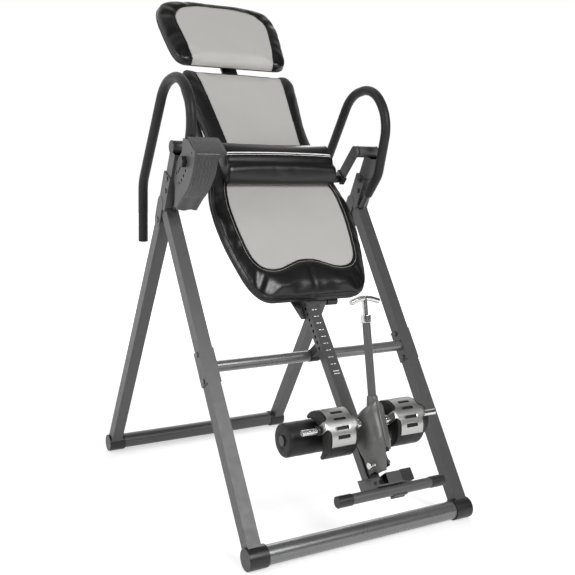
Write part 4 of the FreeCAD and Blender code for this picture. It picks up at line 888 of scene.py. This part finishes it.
# ---------------------------------------------------------------- stage
def studio_world():
    """White to the eye; as light, bright behind and above the object and dim in front of it."""
    world = bpy.data.worlds.new("studio")
    world.use_nodes = True
    nodes = world.node_tree.nodes
    links = world.node_tree.links
    direction = nodes.new("ShaderNodeTexCoord").outputs["Generated"]
    facing = nodes.new("ShaderNodeVectorMath")
    facing.operation = "DOT_PRODUCT"
    facing.inputs[1].default_value = (-0.3, 0.9, 0.3)
    links.new(direction, facing.inputs[0])
    ramp = nodes.new("ShaderNodeMapRange")
    ramp.interpolation_type = "SMOOTHSTEP"
    for socket, value in (("From Min", -0.2), ("From Max", 0.8), ("To Min", 0.05), ("To Max", 1.1)):
        ramp.inputs[socket].default_value = value
    links.new(facing.outputs["Value"], ramp.inputs["Value"])
    light = nodes["Background"]
    links.new(ramp.outputs["Result"], light.inputs["Strength"])
    light.inputs["Color"].default_value = (1, 1, 1, 1)
    backdrop = nodes.new("ShaderNodeBackground")
    backdrop.inputs["Color"].default_value = (1, 1, 1, 1)
    mix = nodes.new("ShaderNodeMixShader")
    links.new(nodes.new("ShaderNodeLightPath").outputs["Is Camera Ray"], mix.inputs["Fac"])
    links.new(light.outputs["Background"], mix.inputs[1])
    links.new(backdrop.outputs["Background"], mix.inputs[2])
    links.new(mix.outputs["Shader"], nodes["World Output"].inputs["Surface"])
    bpy.context.scene.world = world


def stage():
    floor = new_object("floor", mesh_of([(-30, -30, 0), (30, -30, 0), (30, 30, 0), (-30, 30, 0)],
                                        [(0, 1, 2, 3)], "floor"))
    surface = Surface("floor_white", (0.62, 0.62, 0.62), 0.7)
    surface.mottle(surface.noise(2), 0.99, 1.01)
    away = surface.nodes.new("ShaderNodeVectorMath")
    away.operation = "LENGTH"
    surface.join(surface.coords, away.inputs[0])
    glow = surface.nodes.new("ShaderNodeMapRange")
    for socket, value in (("From Min", 1.2), ("From Max", 3.5), ("To Min", 0.5), ("To Max", 1.0)):
        glow.inputs[socket].default_value = value
    surface.join(away.outputs["Value"], glow.inputs["Value"])
    surface.join(glow.outputs["Result"], surface.shader.inputs["Emission Strength"])
    surface.set("Emission Color", (1, 1, 1, 1))
    surface.set("Specular IOR Level", 0.1)
    floor.data.materials.append(surface.material)
    studio_world()
    bpy.context.scene.view_settings.view_transform = "Standard"
    for name, place, aim, power, across in (
            ("key", (0.6, -3.8, 3.0), (0, 0, 0.9), 165, 1.8),
            ("side", (-3.4, -0.8, 2.2), (0, 0, 0.8), 48, 1.4),
            ("rim", (1.8, 3.0, 2.6), (0, 0, 1.0), 24, 1.6)):
        light = bpy.data.lights.new(name, "AREA")
        light.energy = power
        light.size = across
        lamp = bpy.data.objects.new(name, light)
        lamp.location = place
        lamp.visible_camera = False
        lamp.rotation_euler = (Vector(aim) - Vector(place)).to_track_quat("-Z", "Y").to_euler()
        bpy.context.scene.collection.objects.link(lamp)


def camera():
    lens = bpy.data.cameras.new("camera")
    lens.lens = 52.14
    lens.sensor_width = 36.0
    lens.clip_end = 100
    holder = bpy.data.objects.new("camera", lens)
    yaw, pitch = math.radians(29.56), math.radians(6.73)
    forward = Vector((math.sin(yaw) * math.cos(pitch), math.cos(yaw) * math.cos(pitch), -math.sin(pitch)))
    holder.location = (-1.2444, -2.2770, 0.9458)
    holder.rotation_euler = forward.to_track_quat("-Z", "Y").to_euler()
    bpy.context.scene.collection.objects.link(holder)
    bpy.context.scene.camera = holder


# ---------------------------------------------------------------- making
EASED = {
    "front_foot_caps": 3.0, "rear_foot_caps": 3.0, "foot_bar_caps": 4.0, "foot_rubber_block": 2.5,
    "pivot_tube_caps": 1.2, "pivot_bushes": 0.6, "left_front_leg": 2.2, "right_front_leg": 2.2,
    "left_rear_leg": 2.2, "right_rear_leg": 2.2, "left_post_socket": 1.6, "right_post_socket": 1.6,
    "left_pivot_post": 1.6, "right_pivot_post": 1.6, "crossbar_saddles": 1.2, "crossbar_bolts": 0.9,
    "socket_bolts": 0.9, "hinge_bolts": 0.9, "left_pivot_arm": 1.2, "right_pivot_arm": 1.2,
    "table_frame": 1.0, "arm_bolts": 0.8, "shaft_sleeve": 1.2, "backrest_board": 1.5,
    "headrest_bracket": 1.0, "main_shaft": 1.6, "foot_bracket": 1.0, "foot_screws": 0.8,
    "roller_axle": 0.8, "lever_bracket": 1.0, "lever_pivot_bolt": 0.9, "lever_collar": 1.4,
    "t_handle": 1.4, "cup_rod": 1.0, "rod_end_collars": 1.2, "angle_stop_knob": 1.4,
    "height_selector_knob": 2.0,
    "shaft_rest_buffer": 2.0, "angle_stop_plate": 0.8,
    "left_handlebar_grip": 2.5, "right_handlebar_grip": 2.5,
}


def hard_pieces():
    for name, width in EASED.items():
        rounded(name, width)
    for name, item in frame["nodes"].items():
        item.data.materials.clear()
        item.data.materials.append(LOOKS[SLOT_OF[name]])
        if name not in EASED:
            soften(item)


hard_pieces()
backrest()
headrest()
pillow()
heel_rollers()
ankle_cup_foams()
ankle_cup_shells()
lever_shells()
finger_guard()
height_scale()
stage()
camera()
